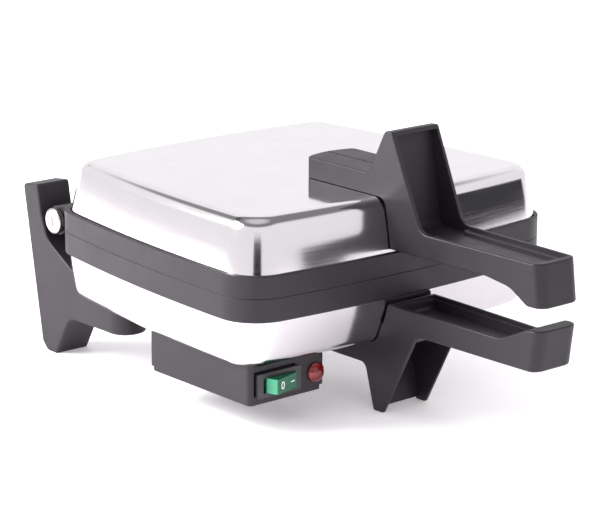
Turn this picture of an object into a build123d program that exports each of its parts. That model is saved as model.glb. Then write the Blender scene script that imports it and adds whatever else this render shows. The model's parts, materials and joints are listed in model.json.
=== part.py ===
from build123d import *
import os
from math import cos, radians, sin, sqrt, tan

# Electric waffle maker: a hinged lid and a base, closed. While it is modelled, Z is zero at the
# seam between the two rims, Y is zero at the middle of the body and the handles point to -Y.
# Sizes are in millimetres.

# Body outline from above: a tapered, bowed rectangle, wider at the front
body_front_width = 237.6
body_rear_width = 203.0
body_depth = 202.0
side_arc_radius = 1060.0
front_arc_radius = 940.0
rear_arc_radius = 710.0
front_corner_radius = 25.0
rear_corner_radius = 24.0

# The body's edges, from which the places of the other parts are measured
front_edge_y = -body_depth / 2
rear_edge_y = body_depth / 2
side_edge_x = body_front_width / 2

# Moulded rims
rim_height = 13.9
rim_edge_radius = 1.2
seam_edge_radius = 0.4
rim_wall = 4.6
rim_inner_inset = 17.0
shell_seat_z = 11.9
rim_screw_inset = 16.5
side_screw_inset = 13.6

# Pressed steel shells
shell_height = 43.5
shell_thickness = 1.0
shell_base_inset = 5.2
shell_side_inset = 12.0
shell_front_inset = 10.4
shell_rear_inset = 14.4
shell_top_corner_radius = 14.0
shell_top_round = 6.5
shell_flange_inset = 16.9

# Cast baking plates
plate_seam_gap = 0.25
plate_rim_gap = 0.3
plate_flange_inset = 9.3
plate_flange_thickness = 4.55
plate_body_inset = 17.6
plate_floor_thickness = 3.0
baking_field = 78.0
field_divider = 4.0
cavity_depth = 9.05
cavity_corner_radius = 8.0
cavity_draft = 6.0
studs_per_field = 5
stud_pitch = 15.4
stud_base = 9.6
stud_height = 6.8
stud_draft = 8.0
drip_groove_offset = 4.5
drip_groove_width = 2.4
drip_groove_depth = 1.0

# Heating
heater_diameter = 6.6
heater_half_width = 66.0
heater_front_y = -62.0
heater_rear_y = 52.0
heater_tail_x = 12.0
heater_tail_y = 78.0
heater_bend_radius = 14.0
clamp_width = 12.0
clamp_thickness = 1.0
clamp_tab = 8.0
clamp_front_y = -30.0
clamp_rear_y = 24.0
heater_terminal_length = 8.0
boss_x = 38.0
boss_y = 26.0
boss_radius = 5.0
boss_tap_depth = 8.0
reflector_width = 166.0
reflector_depth = 150.0
reflector_corner_radius = 16.0
reflector_height = 24.2
reflector_thickness = 0.8
reflector_lip = 4.0
thermostat_radius = 8.5
thermostat_height = 6.0
thermostat_blade_length = 7.0

# Screws
small_screw_radius = 1.75
large_screw_radius = 2.4
head_height = 2.6
nut_height = 3.0
hole_clearance = 0.3
thread_clearance = 0.05
flat_head_radius = 3.8
moulding_bite = 8.0

# Handles: a saddle arm, an upright and a grip in one moulding
arm_height = 12.2
arm_rear_y = front_edge_y + 70.5
arm_crease_y = front_edge_y + 14.1
handle_root_half_width = 17.2
handle_tip_half_width = 13.2
handle_tip_y = front_edge_y - 121.0
handle_tip_radius = 6.5
handle_shoulder_radius = 4.0
handle_taper_radius = 400.0
handle_wall = 2.3
handle_end_wall = 4.6
handle_edge_radius = 1.0
handle_shell_gap = 0.25
arm_rear_sweep = 4.0
arm_screw_front_inset = 8.0
arm_screw_rear_inset = 14.0
upright_top_z = shell_height + 38.5
upright_back_y = front_edge_y + 1.1
upright_front_y = front_edge_y - 4.9
upright_foot_y = front_edge_y - 28.5
upright_foot_radius = 9.0
upright_web = 3.8
grip_top_z = 28.2
grip_underside_z = 14.4
grip_tip_bottom_z = 3.9
grip_hook_y = handle_tip_y + 11.5
grip_curl_y = handle_tip_y + 24.0
grip_curl_drop = 2.6
grip_straight_end_y = handle_tip_y + 42.0
tray_ledge_depth = 1.8
tray_floor_depth = 3.4
tray_ledge_width = 4.6
arm_groove_width = 0.9
arm_groove_depth = 0.5
lower_grip_top_z = -17.9
lower_grip_underside_z = -32.3
lower_grip_tip_z = -8.4
lower_grip_rise_y = handle_tip_y + 30.0
lower_grip_crest_y = handle_tip_y + 10.0
lower_grip_rear_y = front_edge_y - 3.6
leg_arm_height = 13.8
leg_back_top_y = front_edge_y + 15.0
leg_back_foot_y = front_edge_y + 7.2
leg_front_foot_y = front_edge_y - 0.6
leg_front_top_y = front_edge_y - 27.5
foot_z = -(shell_height + 40.5)
leg_web_thickness = 3.0
leg_web_rise = 2.0
leg_channel_roof = 3.6
tray_rear_y = front_edge_y - 10.0
lower_tray_step = 3.2
lower_tray_ledge_width = 2.8
lower_tray_end_y = handle_tip_y + 19.0
lower_tray_depth = 6.5

# Rear brackets
bracket_outer_x = body_rear_width / 2 - 6.0
bracket_width = 24.0
bracket_arm_z = -(shell_height + 14.6)
bracket_arm_front_y = rear_edge_y - 57.0
bracket_edge_radius = 1.2
post_top_z = 20.4
post_front_top_y = rear_edge_y + 28.1
post_back_top_y = rear_edge_y + 43.2
post_back_foot_y = rear_edge_y + 26.0
foot_front_y = rear_edge_y + 11.6
foot_length = 9.4
post_waist_y = rear_edge_y + 24.6
post_waist_z = 2.0
post_knee_y = rear_edge_y + 19.0
post_knee_z = -12.5
post_root_y = rear_edge_y - 6.0
post_root_z = -26.5
bracket_tail_y = rear_edge_y - 26.0
bracket_tail_z = -30.0
bracket_haunch_y = rear_edge_y - 3.5
bracket_wall = 3.0
bracket_rib = 2.4
bracket_rib_pitch = 27.0
bracket_screw_front_inset = 12.0
bracket_screw_pitch = 16.0
bracket_screw_x = bracket_outer_x - 14.0

# Hinge
hinge_y = rear_edge_y + 13.4
hinge_lug_radius = 9.0
ear_outer_x = body_rear_width / 2 - 11.0
ear_thickness = 7.0
ear_top_lean = 15.0
lug_gap = 0.4
lug_thickness = 9.0
knob_radius = 7.5
knob_thickness = 4.2
knob_edge = 0.7
knob_slot_width = 1.4
knob_slot_length = 6.0
knob_slot_depth = 1.0
bush_radius = 4.2
pivot_radius = 3.0
running_clearance = 0.05
thread_radius = 2.5

# Control box
box_left_x = -(side_edge_x - 14.1)
box_right_x = box_left_x + 55.4
box_front_y = front_edge_y + 14.6
box_rear_y = box_front_y + 91.4
box_bottom_z = -(shell_height + 22.5)
box_wall = 2.6
box_corner_radius = 3.0
box_roof_thickness = 2.6
box_saddle_rise = 4.0
box_front_post_inset = 32.0
box_screw_length = 8.0
cover_head_sink = 1.4
cover_thickness = 3.0
cover_step = 2.2
cover_screw_radius = 1.4
cover_edge_radius = 0.8
box_post_radius = 3.6
box_post_overlap = 0.2

# Switch and lamp, on the control box's front
switch_x = box_left_x + 20.3
control_z = -(shell_height + 11.4)
bezel_width = 31.4
bezel_height = 14.2
bezel_thickness = 2.0
bezel_corner_radius = 1.0
switch_body_width = 27.2
switch_body_height = 12.0
switch_body_depth = 18.0
rocker_opening_width = 23.4
rocker_opening_height = 9.0
rocker_pocket_depth = 13.5
rocker_tilt = 15.0
rocker_face_half = 9.4
rocker_base_half = 10.2
rocker_face_height = 8.5
rocker_base_height = 1.4
rocker_back = 5.0
rocker_height = 8.6
rocker_pivot_depth = 4.0
rocker_pin_radius = 1.2
rocker_pin_reach = 5.4
tab_width = 4.8
tab_thickness = 0.8
tab_length = 8.0
tab_pitch = 8.0
holder_tab_pitch = 4.0
snap_clearance = 0.1
lamp_x = box_right_x - 7.1
lamp_radius = 5.85
lamp_flange = 1.2
lamp_dome = 3.2
lamp_shank_radius = 3.4
lamp_shank_length = 6.0
lamp_holder_radius = 4.4
lamp_holder_length = 16.0

# Cord gland, terminal block and lead bushing, in the control box
gland_x = box_left_x + 38.7
gland_bore_radius = 3.6
gland_shank_radius = 6.0
gland_flange_radius = 8.5
gland_flange_thickness = 5.0
gland_edge_radius = 1.8
snap_ring_rise = 0.8
snap_ring_length = 2.9
block_x = box_left_x + 27.7
block_width = 30.0
block_depth = 16.0
block_height = 10.0
terminal_pitch = 9.4
terminal_bore_radius = 1.8
terminal_screw_radius = 1.6
block_y = box_front_y + 58.4
bushing_x = box_left_x + 34.7
bushing_y = box_front_y + 36.4
bushing_bore_radius = 2.5
bushing_radius = 4.5
bushing_flange_radius = 6.5

# Values worked out from the sizes above
handle_blank = 2 * handle_root_half_width
taper = (body_front_width - body_rear_width) / 2 / body_depth
hinge_lug_inner_x = ear_outer_x - ear_thickness - lug_gap - lug_thickness
plate_back_z = plate_seam_gap + cavity_depth + plate_floor_thickness
heater_z = plate_back_z + heater_diameter / 2
box_seat_z = -shell_height


def bowed_edge(start, end, radius):
    """An arc from start to end that bulges to the right of its direction."""
    dx, dy = end[0] - start[0], end[1] - start[1]
    chord = sqrt(dx * dx + dy * dy)
    bulge = radius - sqrt(radius * radius - chord * chord / 4)
    middle = ((start[0] + end[0]) / 2 + bulge * dy / chord, (start[1] + end[1]) / 2 - bulge * dx / chord)
    return ThreePointArc(start, middle, end)


def body_corners(side_inset, front_inset, rear_inset):
    """Sharp front and rear corners, on the +X side, of the body's outline moved inwards."""
    front = (body_front_width / 2 - side_inset - taper * front_inset, -body_depth / 2 + front_inset)
    rear = (body_rear_width / 2 - side_inset + taper * rear_inset, body_depth / 2 - rear_inset)
    return front, rear


def body_outline(side_inset, front_inset, rear_inset, front_radius, rear_radius, z):
    """Face with the body's tapered and bowed outline at a height."""
    front, rear = body_corners(side_inset, front_inset, rear_inset)
    edges = (
        bowed_edge((-front[0], front[1]), front, front_arc_radius)
        + bowed_edge(front, rear, side_arc_radius)
        + bowed_edge(rear, (-rear[0], rear[1]), rear_arc_radius)
        + bowed_edge((-rear[0], rear[1]), (-front[0], front[1]), side_arc_radius)
    )
    face = make_face(edges).face()
    corners = face.vertices().sort_by(Axis.Y)
    face = face.fillet_2d(front_radius, corners[:2])
    face = face.fillet_2d(rear_radius, face.vertices().sort_by(Axis.Y)[-2:])
    return face.moved(Location((0, 0, z)))


def body_slab(inset, bottom, top):
    """Solid slab with the body's outline moved inwards evenly."""
    face = body_outline(
        inset, inset, inset, front_corner_radius - inset, rear_corner_radius - inset, bottom
    )
    return extrude(face, top - bottom, dir=(0, 0, 1))


def turned_over(shape):
    """The same shape below the seam."""
    return mirror(shape, about=Plane.XY)


def rim_screw_points():
    """Places of the six screws that clamp plate, rim and shell together."""
    front, rear = body_corners(rim_screw_inset, rim_screw_inset, rim_screw_inset)
    side_bulge = side_arc_radius - sqrt(side_arc_radius**2 - body_depth**2 / 4)
    middle_x = (body_front_width + body_rear_width) / 4 + side_bulge - side_screw_inset
    points = []
    for side in (-1, 1):
        points += [(side * front[0], front[1]), (side * rear[0], rear[1]), (side * middle_x, 0)]
    return points


def rounded_profile(corners):
    """Face in the YZ plane from (y, z, corner radius) triples."""
    points = [(0, y, z) for y, z, radius in corners]
    face = make_face(Polyline(*points, close=True)).face()
    for y, z, radius in corners:
        if radius > 0:
            corner = face.vertices().sort_by_distance((0, y, z))[0]
            face = face.fillet_2d(radius, [corner])
    return face


def across(face, half_width):
    """A YZ profile made solid, equally to both sides."""
    return extrude(face, half_width, dir=(1, 0, 0), both=True)


def disc(radius, x, y, bottom, top):
    """Upright cylinder between two heights."""
    return Pos(x, y, bottom) * Cylinder(radius, top - bottom, align=(Align.CENTER, Align.CENTER, Align.MIN))


def pin_along_x(radius, start, end, y, z):
    """Cylinder along X between two places."""
    place = Plane(origin=(start, y, z), z_dir=(1, 0, 0))
    return place * Cylinder(radius, end - start, align=(Align.CENTER, Align.CENTER, Align.MIN))


def pin_along_y(radius, start, end, x, z):
    """Cylinder along Y between two places."""
    place = Plane(origin=(x, start, z), z_dir=(0, 1, 0))
    return place * Cylinder(radius, end - start, align=(Align.CENTER, Align.CENTER, Align.MIN))


def shell_form(grow, top_z):
    """The shell's outer form as a solid, grown sideways by an amount, up to a height."""
    base = body_outline(
        shell_base_inset - grow,
        shell_base_inset - grow,
        shell_base_inset - grow,
        front_corner_radius - shell_base_inset + grow,
        rear_corner_radius - shell_base_inset + grow,
        shell_seat_z,
    )
    top = body_outline(
        shell_side_inset - grow,
        shell_front_inset - grow,
        shell_rear_inset - grow,
        shell_top_corner_radius + grow,
        shell_top_corner_radius + grow,
        top_z,
    )
    form = loft([base, top], ruled=True)
    return fillet(form.faces().sort_by(Axis.Z)[-1].edges(), shell_top_round + grow)


def steel_shell():
    """Drawn cover with a rounded top edge and a flange turned inwards at its foot."""
    shell = shell_form(0, shell_height) - shell_form(-shell_thickness, shell_height - shell_thickness)
    flange = body_slab(shell_base_inset + shell_thickness / 2, shell_seat_z, shell_seat_z + shell_thickness)
    flange -= body_slab(shell_flange_inset, shell_seat_z - 1, shell_seat_z + shell_thickness + 1)
    shell += flange
    for x, y in rim_screw_points():
        shell -= disc(small_screw_radius + hole_clearance, x, y, shell_seat_z - 1, shell_seat_z + 3)
    return shell


def rim_ring():
    """Moulded ring: outer wall, a seat for the shell on top and one for the plate below."""
    ring = body_slab(0, 0, rim_height)
    ring = fillet(ring.faces().sort_by(Axis.Z)[-1].edges(), rim_edge_radius)
    ring = fillet(ring.faces().sort_by(Axis.Z)[0].edges(), seam_edge_radius)
    ring -= body_slab(rim_inner_inset, -1, rim_height + 1)
    ring -= body_slab(plate_flange_inset - plate_rim_gap, -1, plate_seam_gap + plate_flange_thickness)
    ring -= body_slab(rim_wall, shell_seat_z, rim_height + 1)
    for x, y in rim_screw_points():
        ring -= disc(small_screw_radius + hole_clearance, x, y, 0, rim_height)
    return ring


def hinge_arm(side, outer_x, thickness, low):
    """Lug round the hinge axis with its root run into the rim's rear corner."""
    inner_x = outer_x - thickness
    rim_y = body_depth / 2 - rear_corner_radius / 2
    lean = radians(ear_top_lean)
    tangent_y = hinge_y + hinge_lug_radius * sin(lean)
    tangent_z = hinge_lug_radius * cos(lean)
    root_z = rim_height - rim_edge_radius
    root_y = tangent_y - (root_z - tangent_z) / tan(lean)
    outline = [(rim_y, root_z), (root_y, root_z), (tangent_y, tangent_z), (hinge_y, 0), (rim_y, 0)]
    face = Plane.YZ * make_face(Polyline(*outline, close=True))
    block = extrude(face.face().moved(Location((inner_x, 0, 0))), thickness, dir=(1, 0, 0))
    lug = pin_along_x(hinge_lug_radius, inner_x, outer_x, hinge_y, 0)
    arm = block + lug
    if low:
        arm = turned_over(arm)
    return arm if side > 0 else mirror(arm, about=Plane.YZ)


def upper_rim():
    """Upper rim with a hinge ear at each rear corner, bored for its bush."""
    rim = rim_ring()
    for side in (-1, 1):
        ear = hinge_arm(side, ear_outer_x, ear_thickness, False)
        ear -= body_slab(plate_flange_inset - plate_rim_gap, -1, plate_seam_gap + plate_flange_thickness)
        ear -= body_slab(rim_wall, shell_seat_z, rim_height + 1)
        rim += ear
    for side in (-1, 1):
        ends = sorted((side * (ear_outer_x + 1), side * (ear_outer_x - ear_thickness - 1)))
        rim -= pin_along_x(bush_radius + thread_clearance, ends[0], ends[1], hinge_y, 0)
    return rim


def lower_rim():
    """Lower rim with a hinge lug beside each ear, bored for the screw's thread."""
    rim = turned_over(rim_ring())
    for side in (-1, 1):
        outer_x = ear_outer_x - ear_thickness - lug_gap
        lug = hinge_arm(side, outer_x, lug_thickness, True)
        lug -= body_slab(plate_flange_inset - plate_rim_gap, -plate_seam_gap - plate_flange_thickness, 1)
        lug -= body_slab(rim_wall, -rim_height - 1, -shell_seat_z)
        rim += lug
        ends = sorted((side * (outer_x + 1), side * (hinge_lug_inner_x - 1)))
        rim -= pin_along_x(thread_radius + thread_clearance, ends[0], ends[1], hinge_y, 0)
    return rim


def hinge_screws():
    """Two shoulder screws with round knobs: shoulder in the ear's bush, thread in the lug."""
    screws = []
    for side in (-1, 1):
        inner_x = ear_outer_x - ear_thickness - lug_gap
        knob_x = ear_outer_x + lug_gap
        knob = pin_along_x(knob_radius, knob_x, knob_x + knob_thickness, hinge_y, 0)
        rims = knob.edges().filter_by(GeomType.CIRCLE)
        knob = chamfer(rims, knob_edge)
        slot = Pos(knob_x + knob_thickness, hinge_y, 0) * Box(
            2 * knob_slot_depth, knob_slot_width, knob_slot_length
        )
        screw = knob - slot
        screw += pin_along_x(pivot_radius, inner_x, knob_x + 1, hinge_y, 0)
        screw += pin_along_x(thread_radius, hinge_lug_inner_x, inner_x + 1, hinge_y, 0)
        screws.append(screw if side > 0 else mirror(screw, about=Plane.YZ))
    return Compound(children=screws)


def hinge_bushes():
    """Steel bushes pressed into the two ears."""
    bushes = []
    for side in (-1, 1):
        ends = sorted((side * ear_outer_x, side * (ear_outer_x - ear_thickness)))
        bush = pin_along_x(bush_radius, ends[0], ends[1], hinge_y, 0)
        bore = pin_along_x(pivot_radius + running_clearance, ends[0] - 1, ends[1] + 1, hinge_y, 0)
        bushes.append(bush - bore)
    return Compound(children=bushes)


def stud_points():
    """Centres of the studs of the four baking fields."""
    offset = (baking_field + field_divider) / 2
    points = []
    for field_x in (-offset, offset):
        for field_y in (-offset, offset):
            for column in range(studs_per_field):
                for row in range(studs_per_field):
                    step = (studs_per_field - 1) / 2
                    points.append(
                        (field_x + (column - step) * stud_pitch, field_y + (row - step) * stud_pitch)
                    )
    return points


def baking_plate():
    """Cast plate: flange, dished field with studs, a dividing cross and a drip groove."""
    flange_top = plate_seam_gap + plate_flange_thickness
    cavity = 2 * baking_field + field_divider
    floor_z = plate_seam_gap + cavity_depth
    plate = body_slab(plate_flange_inset, plate_seam_gap, flange_top)
    plate += body_slab(plate_body_inset, plate_seam_gap, plate_back_z)
    mouth = Pos(0, 0, plate_seam_gap) * RectangleRounded(cavity, cavity, cavity_corner_radius)
    plate -= extrude(mouth, cavity_depth, taper=cavity_draft)
    groove_inner = cavity + 2 * drip_groove_offset
    groove_outer = groove_inner + 2 * drip_groove_width
    groove_radius = cavity_corner_radius + drip_groove_offset
    groove = RectangleRounded(groove_outer, groove_outer, groove_radius + drip_groove_width)
    groove -= RectangleRounded(groove_inner, groove_inner, groove_radius)
    plate -= extrude(Pos(0, 0, plate_seam_gap) * groove, drip_groove_depth)
    bar_sketch = Rectangle(cavity, field_divider + 1) + Rectangle(field_divider + 1, cavity)
    raised = [extrude(Pos(0, 0, floor_z) * bar_sketch, -stud_height, taper=stud_draft / 2)]
    stud = extrude(Rectangle(stud_base, stud_base), -stud_height, taper=stud_draft)
    raised += [Pos(x, y, floor_z) * stud for x, y in stud_points()]
    plate = plate.fuse(*[solid for shape in raised for solid in shape.solids()])
    for x, y in rim_screw_points():
        plate -= disc(small_screw_radius + hole_clearance, x, y, 0, flange_top + 1)
        plate -= Pos(x, y, plate_seam_gap) * Cone(
            flat_head_radius + hole_clearance,
            small_screw_radius,
            flat_head_radius + hole_clearance - small_screw_radius,
            align=(Align.CENTER, Align.CENTER, Align.MIN),
        )
    for x in (-boss_x, boss_x):
        for y in (-boss_y, boss_y):
            plate += disc(boss_radius, x, y, plate_back_z, reflector_height)
            bore = small_screw_radius + thread_clearance
            plate -= disc(bore, x, y, reflector_height - boss_tap_depth, reflector_height + 1)
    return plate


def plate_screws():
    """Six flat-head screws from the baking side through plate, rim and shell flange."""
    screws = []
    tip_z = shell_seat_z + shell_thickness + nut_height + 1
    for x, y in rim_screw_points():
        screw = Pos(x, y, plate_seam_gap) * Cone(
            flat_head_radius,
            small_screw_radius,
            flat_head_radius - small_screw_radius,
            align=(Align.CENTER, Align.CENTER, Align.MIN),
        )
        screws.append(screw + disc(small_screw_radius, x, y, plate_seam_gap + 1, tip_z))
    return Compound(children=screws)


def plate_nuts():
    """Hexagon nuts on the plate screws, above the shell's flange."""
    nuts = []
    base = shell_seat_z + shell_thickness
    for x, y in rim_screw_points():
        nut = extrude(Pos(x, y, base) * RegularPolygon(2 * small_screw_radius, 6), nut_height)
        bore = small_screw_radius + thread_clearance
        nuts.append(nut - disc(bore, x, y, base - 1, base + nut_height + 1))
    return Compound(children=nuts)


def heater():
    """Tubular element bent into a flat loop behind the plate, both tails to the rear."""
    corners = [
        (-heater_tail_x, heater_tail_y),
        (-heater_tail_x, heater_rear_y),
        (-heater_half_width, heater_rear_y),
        (-heater_half_width, heater_front_y),
        (heater_half_width, heater_front_y),
        (heater_half_width, heater_rear_y),
        (heater_tail_x, heater_rear_y),
        (heater_tail_x, heater_tail_y),
    ]
    path = Polyline(*[(x, y, heater_z) for x, y in corners])
    path = path.wire().fillet_2d(heater_bend_radius, path.wire().vertices()[1:-1])
    section = Plane(origin=path @ 0, z_dir=path % 0) * Circle(heater_diameter / 2)
    tube = sweep(section, path=path)
    for x in (-heater_tail_x, heater_tail_x):
        tail_end = heater_tail_y + heater_terminal_length
        tube += pin_along_y(heater_diameter / 4, heater_tail_y - 1, tail_end, x, heater_z)
    return tube


def heater_clamps():
    """Sheet saddles that hold the element against the plate."""
    clamps = []
    outer = heater_diameter / 2 + clamp_thickness
    half = outer + clamp_tab
    for x in (-heater_half_width, heater_half_width):
        for y in (clamp_front_y, clamp_rear_y):
            middle = Pos(x, y, plate_back_z + clamp_thickness / 2)
            clamp = middle * Box(2 * half, clamp_width, clamp_thickness)
            clamp += pin_along_y(outer, y - clamp_width / 2, y + clamp_width / 2, x, heater_z)
            clamp -= pin_along_y(heater_diameter / 2, y - clamp_width, y + clamp_width, x, heater_z)
            clamp -= Pos(x, y, plate_back_z) * Box(heater_diameter, 2 * clamp_width, heater_diameter)
            below = Pos(x, y, plate_back_z - half) * Box(4 * half, 2 * clamp_width, 2 * half)
            clamps.append(clamp - below)
    return Compound(children=clamps)


def reflector():
    """Sheet tray that keeps the heat off the shell, on the plate's bosses."""
    sketch = RectangleRounded(reflector_width, reflector_depth, reflector_corner_radius)
    inner = RectangleRounded(
        reflector_width - 2 * reflector_thickness,
        reflector_depth - 2 * reflector_thickness,
        reflector_corner_radius - reflector_thickness,
    )
    top = reflector_height + reflector_thickness
    foot = Pos(0, 0, reflector_height - reflector_lip)
    tray = extrude(foot * sketch, reflector_lip + reflector_thickness)
    tray -= extrude(foot * inner, reflector_lip)
    for x in (-boss_x, boss_x):
        for y in (-boss_y, boss_y):
            tray -= disc(small_screw_radius + hole_clearance, x, y, reflector_height - 1, top + 1)
    return tray


def reflector_screws():
    """Pan-head screws into the four bosses."""
    top = reflector_height + reflector_thickness
    screws = []
    for x in (-boss_x, boss_x):
        for y in (-boss_y, boss_y):
            head = disc(2 * small_screw_radius, x, y, top, top + head_height)
            shank = disc(small_screw_radius, x, y, reflector_height - boss_tap_depth + 1, top + 0.5)
            screws.append(head + shank)
    return Compound(children=screws)


def handle_plan(inset, end_inset):
    """Outline from above: straight by the body, tapered to the tip, moved inwards."""
    root = handle_root_half_width - inset
    tip = handle_tip_half_width - inset
    tip_y = handle_tip_y + end_inset
    rear_y = arm_rear_y - inset
    shoulder_y = rear_y - arm_rear_sweep
    taper_y = upright_front_y
    edges = (
        ThreePointArc((root, shoulder_y), (0, rear_y), (-root, shoulder_y))
        + Polyline((-root, shoulder_y), (-root, taper_y), (-tip, tip_y), (tip, tip_y))
        + Polyline((tip, tip_y), (root, taper_y), (root, shoulder_y))
    )
    face = make_face(edges).face()
    radius = max(handle_tip_radius - end_inset, 1.5)
    face = face.fillet_2d(radius, face.vertices().sort_by(Axis.Y)[:2])
    for place, bend_radius in ((shoulder_y, handle_shoulder_radius), (taper_y, handle_taper_radius)):
        bends = [corner for corner in face.vertices() if abs(corner.Y - place) < 0.01]
        face = face.fillet_2d(bend_radius, bends)
    return extrude(face.moved(Location((0, 0, 2 * foot_z))), 4 * abs(foot_z), dir=(0, 0, 1))


def softened(body, radius):
    """The handle's blank with its sharp outer edges rounded; those inside the shell stay."""
    picked = []
    for edge in body.edges():
        middle = edge @ 0.5
        sides = [face for face in body.faces() if any(other.is_same(edge) for other in face.edges())]
        smooth = len(sides) != 2 or sides[0].normal_at(middle).dot(sides[1].normal_at(middle)) > 0.99
        in_shell = middle.Y > -body_depth / 2 - 3 and abs(middle.Z) < shell_height + 0.5
        if not smooth and not in_shell:
            picked.append(edge)
    return fillet(picked, radius)


def upper_handle():
    """Lid handle: arm on the lid, hollow upright in front of it, tray-shaped grip."""
    arm_top = shell_height + arm_height
    front_y = -body_depth / 2
    profile = rounded_profile(
        [
            (arm_rear_y + 1, shell_height - 2, 0),
            (arm_rear_y + 1, arm_top, 0),
            (arm_crease_y, arm_top, 2.0),
            (upright_back_y, upright_top_z - 0.4, 1.6),
            (upright_front_y, upright_top_z, 1.6),
            (upright_foot_y, grip_top_z, upright_foot_radius),
            (handle_tip_y - 5, grip_top_z, 0),
            (handle_tip_y - 5, grip_tip_bottom_z, 0),
            (grip_hook_y, grip_tip_bottom_z, 5.0),
            (grip_curl_y, grip_underside_z - grip_curl_drop, 18.0),
            (grip_straight_end_y, grip_underside_z, 30.0),
            (front_y + shell_base_inset, grip_underside_z, 0),
            (front_y + shell_top_corner_radius, shell_seat_z + 8, 0),
        ]
    )
    body = across(profile, handle_blank) & handle_plan(0, 0)
    body = softened(body, handle_edge_radius)
    body -= shell_form(handle_shell_gap, shell_height)
    channel = rounded_profile(
        [
            (upright_front_y + upright_web, upright_top_z - handle_wall, 0.8),
            (tray_rear_y - 1.0, grip_top_z - tray_floor_depth, 5.0),
            (handle_tip_y, grip_top_z - tray_floor_depth, 0),
            (handle_tip_y, upright_top_z - handle_wall, 0),
        ]
    )
    ledge = rounded_profile(
        [
            (upright_foot_y - 6.0, grip_top_z - tray_ledge_depth, 3.0),
            (handle_tip_y, grip_top_z - tray_ledge_depth, 0),
            (handle_tip_y, grip_top_z + 5, 0),
            (upright_foot_y - 6.0, grip_top_z + 5, 0),
        ]
    )
    deep = across(channel, handle_blank)
    wide = handle_plan(handle_wall, handle_end_wall)
    narrow = handle_plan(handle_wall + tray_ledge_width, handle_end_wall + tray_ledge_width)
    upright_zone = Pos(0, upright_foot_y - 7.0, 0) * Box(
        2 * handle_blank, body_depth, 2 * upright_top_z, align=(Align.CENTER, Align.MIN, Align.CENTER)
    )
    body -= deep & wide & upright_zone
    body -= deep & narrow
    body -= across(ledge, handle_blank) & wide
    groove_length = arm_rear_y - arm_crease_y
    body -= Pos(0, (arm_rear_y + arm_crease_y) / 2, arm_top) * Box(
        arm_groove_width, groove_length + 6, 2 * arm_groove_depth
    )
    for y in handle_screw_places():
        bore = large_screw_radius + thread_clearance
        body -= disc(bore, 0, y, shell_height - 1, shell_height + moulding_bite + 1)
    return body


def handle_screw_places():
    """Places along Y of the two screws in each handle arm."""
    return (arm_rear_y - arm_screw_rear_inset, arm_crease_y + arm_screw_front_inset)


def handle_screws():
    """Pan-head screws from inside the shell into the handle's arm."""
    screws = []
    inside = shell_height - shell_thickness
    for y in handle_screw_places():
        head = disc(2 * large_screw_radius, 0, y, inside - head_height, inside)
        shank = disc(large_screw_radius, 0, y, inside - 1, shell_height + moulding_bite)
        screws.append(head + shank)
    return Compound(children=screws)


def lower_handle():
    """Base handle: arm under the base, front leg with an open channel, tray-shaped grip."""
    arm_bottom = -shell_height - leg_arm_height
    profile = rounded_profile(
        [
            (arm_rear_y + 1, -shell_height + 2, 0),
            (arm_rear_y + 1, arm_bottom, 0),
            (leg_back_top_y, arm_bottom, 5.0),
            (leg_back_foot_y, foot_z, 1.6),
            (leg_front_foot_y, foot_z, 2.0),
            (leg_front_top_y, lower_grip_underside_z, 6.0),
            (handle_tip_y - 5, lower_grip_underside_z, 0),
            (handle_tip_y - 5, lower_grip_tip_z, 0),
            (lower_grip_crest_y, lower_grip_tip_z - 0.6, 9.0),
            (lower_grip_rise_y, lower_grip_top_z - 0.4, 16.0),
            (lower_grip_rear_y, lower_grip_top_z, 2.0),
            (-body_depth / 2, lower_grip_top_z - 12, 0),
            (-body_depth / 2 + shell_top_corner_radius, -shell_height + 3, 0),
        ]
    )
    body = across(profile, handle_blank) & handle_plan(0, 0)
    body = softened(body, handle_edge_radius)
    body -= turned_over(shell_form(handle_shell_gap, shell_height))
    tray = rounded_profile(
        [
            (tray_rear_y, lower_grip_top_z - lower_tray_depth, 2.0),
            (lower_tray_end_y, lower_grip_top_z - lower_tray_depth, 12.0),
            (lower_tray_end_y - 8, 0, 0),
            (tray_rear_y, 0, 0),
        ]
    )
    ledge = rounded_profile(
        [
            (tray_rear_y + lower_tray_step, lower_grip_top_z - tray_ledge_depth, 0.6),
            (lower_tray_end_y, lower_grip_top_z - tray_ledge_depth, 12.0),
            (lower_tray_end_y - 8, 0, 0),
            (tray_rear_y + lower_tray_step, 0, 0),
        ]
    )
    wide = handle_plan(handle_wall, handle_end_wall)
    narrow = handle_plan(handle_wall + lower_tray_ledge_width, handle_end_wall)
    body -= across(ledge, handle_blank) & wide
    body -= across(tray, handle_blank) & narrow
    roof_z = lower_grip_underside_z - leg_channel_roof
    lean = (leg_back_top_y - leg_back_foot_y) / (arm_bottom - foot_z)
    channel = rounded_profile(
        [
            (leg_back_foot_y - leg_web_thickness, foot_z, 0),
            (leg_back_foot_y - leg_web_thickness + lean * (roof_z - foot_z), roof_z, 4.0),
            (tray_rear_y + 2 * foot_z, roof_z, 0),
            (tray_rear_y + 2 * foot_z, foot_z, 0),
        ]
    )
    body -= across(channel, handle_root_half_width - handle_wall)
    foot_relief = Pos(0, leg_back_foot_y, foot_z) * Box(
        2 * (handle_root_half_width - handle_wall), 2 * body_depth, 2 * leg_web_rise
    )
    body -= foot_relief
    for y in handle_screw_places():
        bore = large_screw_radius + thread_clearance
        body -= disc(bore, 0, y, -shell_height - moulding_bite - 1, -shell_height + 1)
    return body


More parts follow.
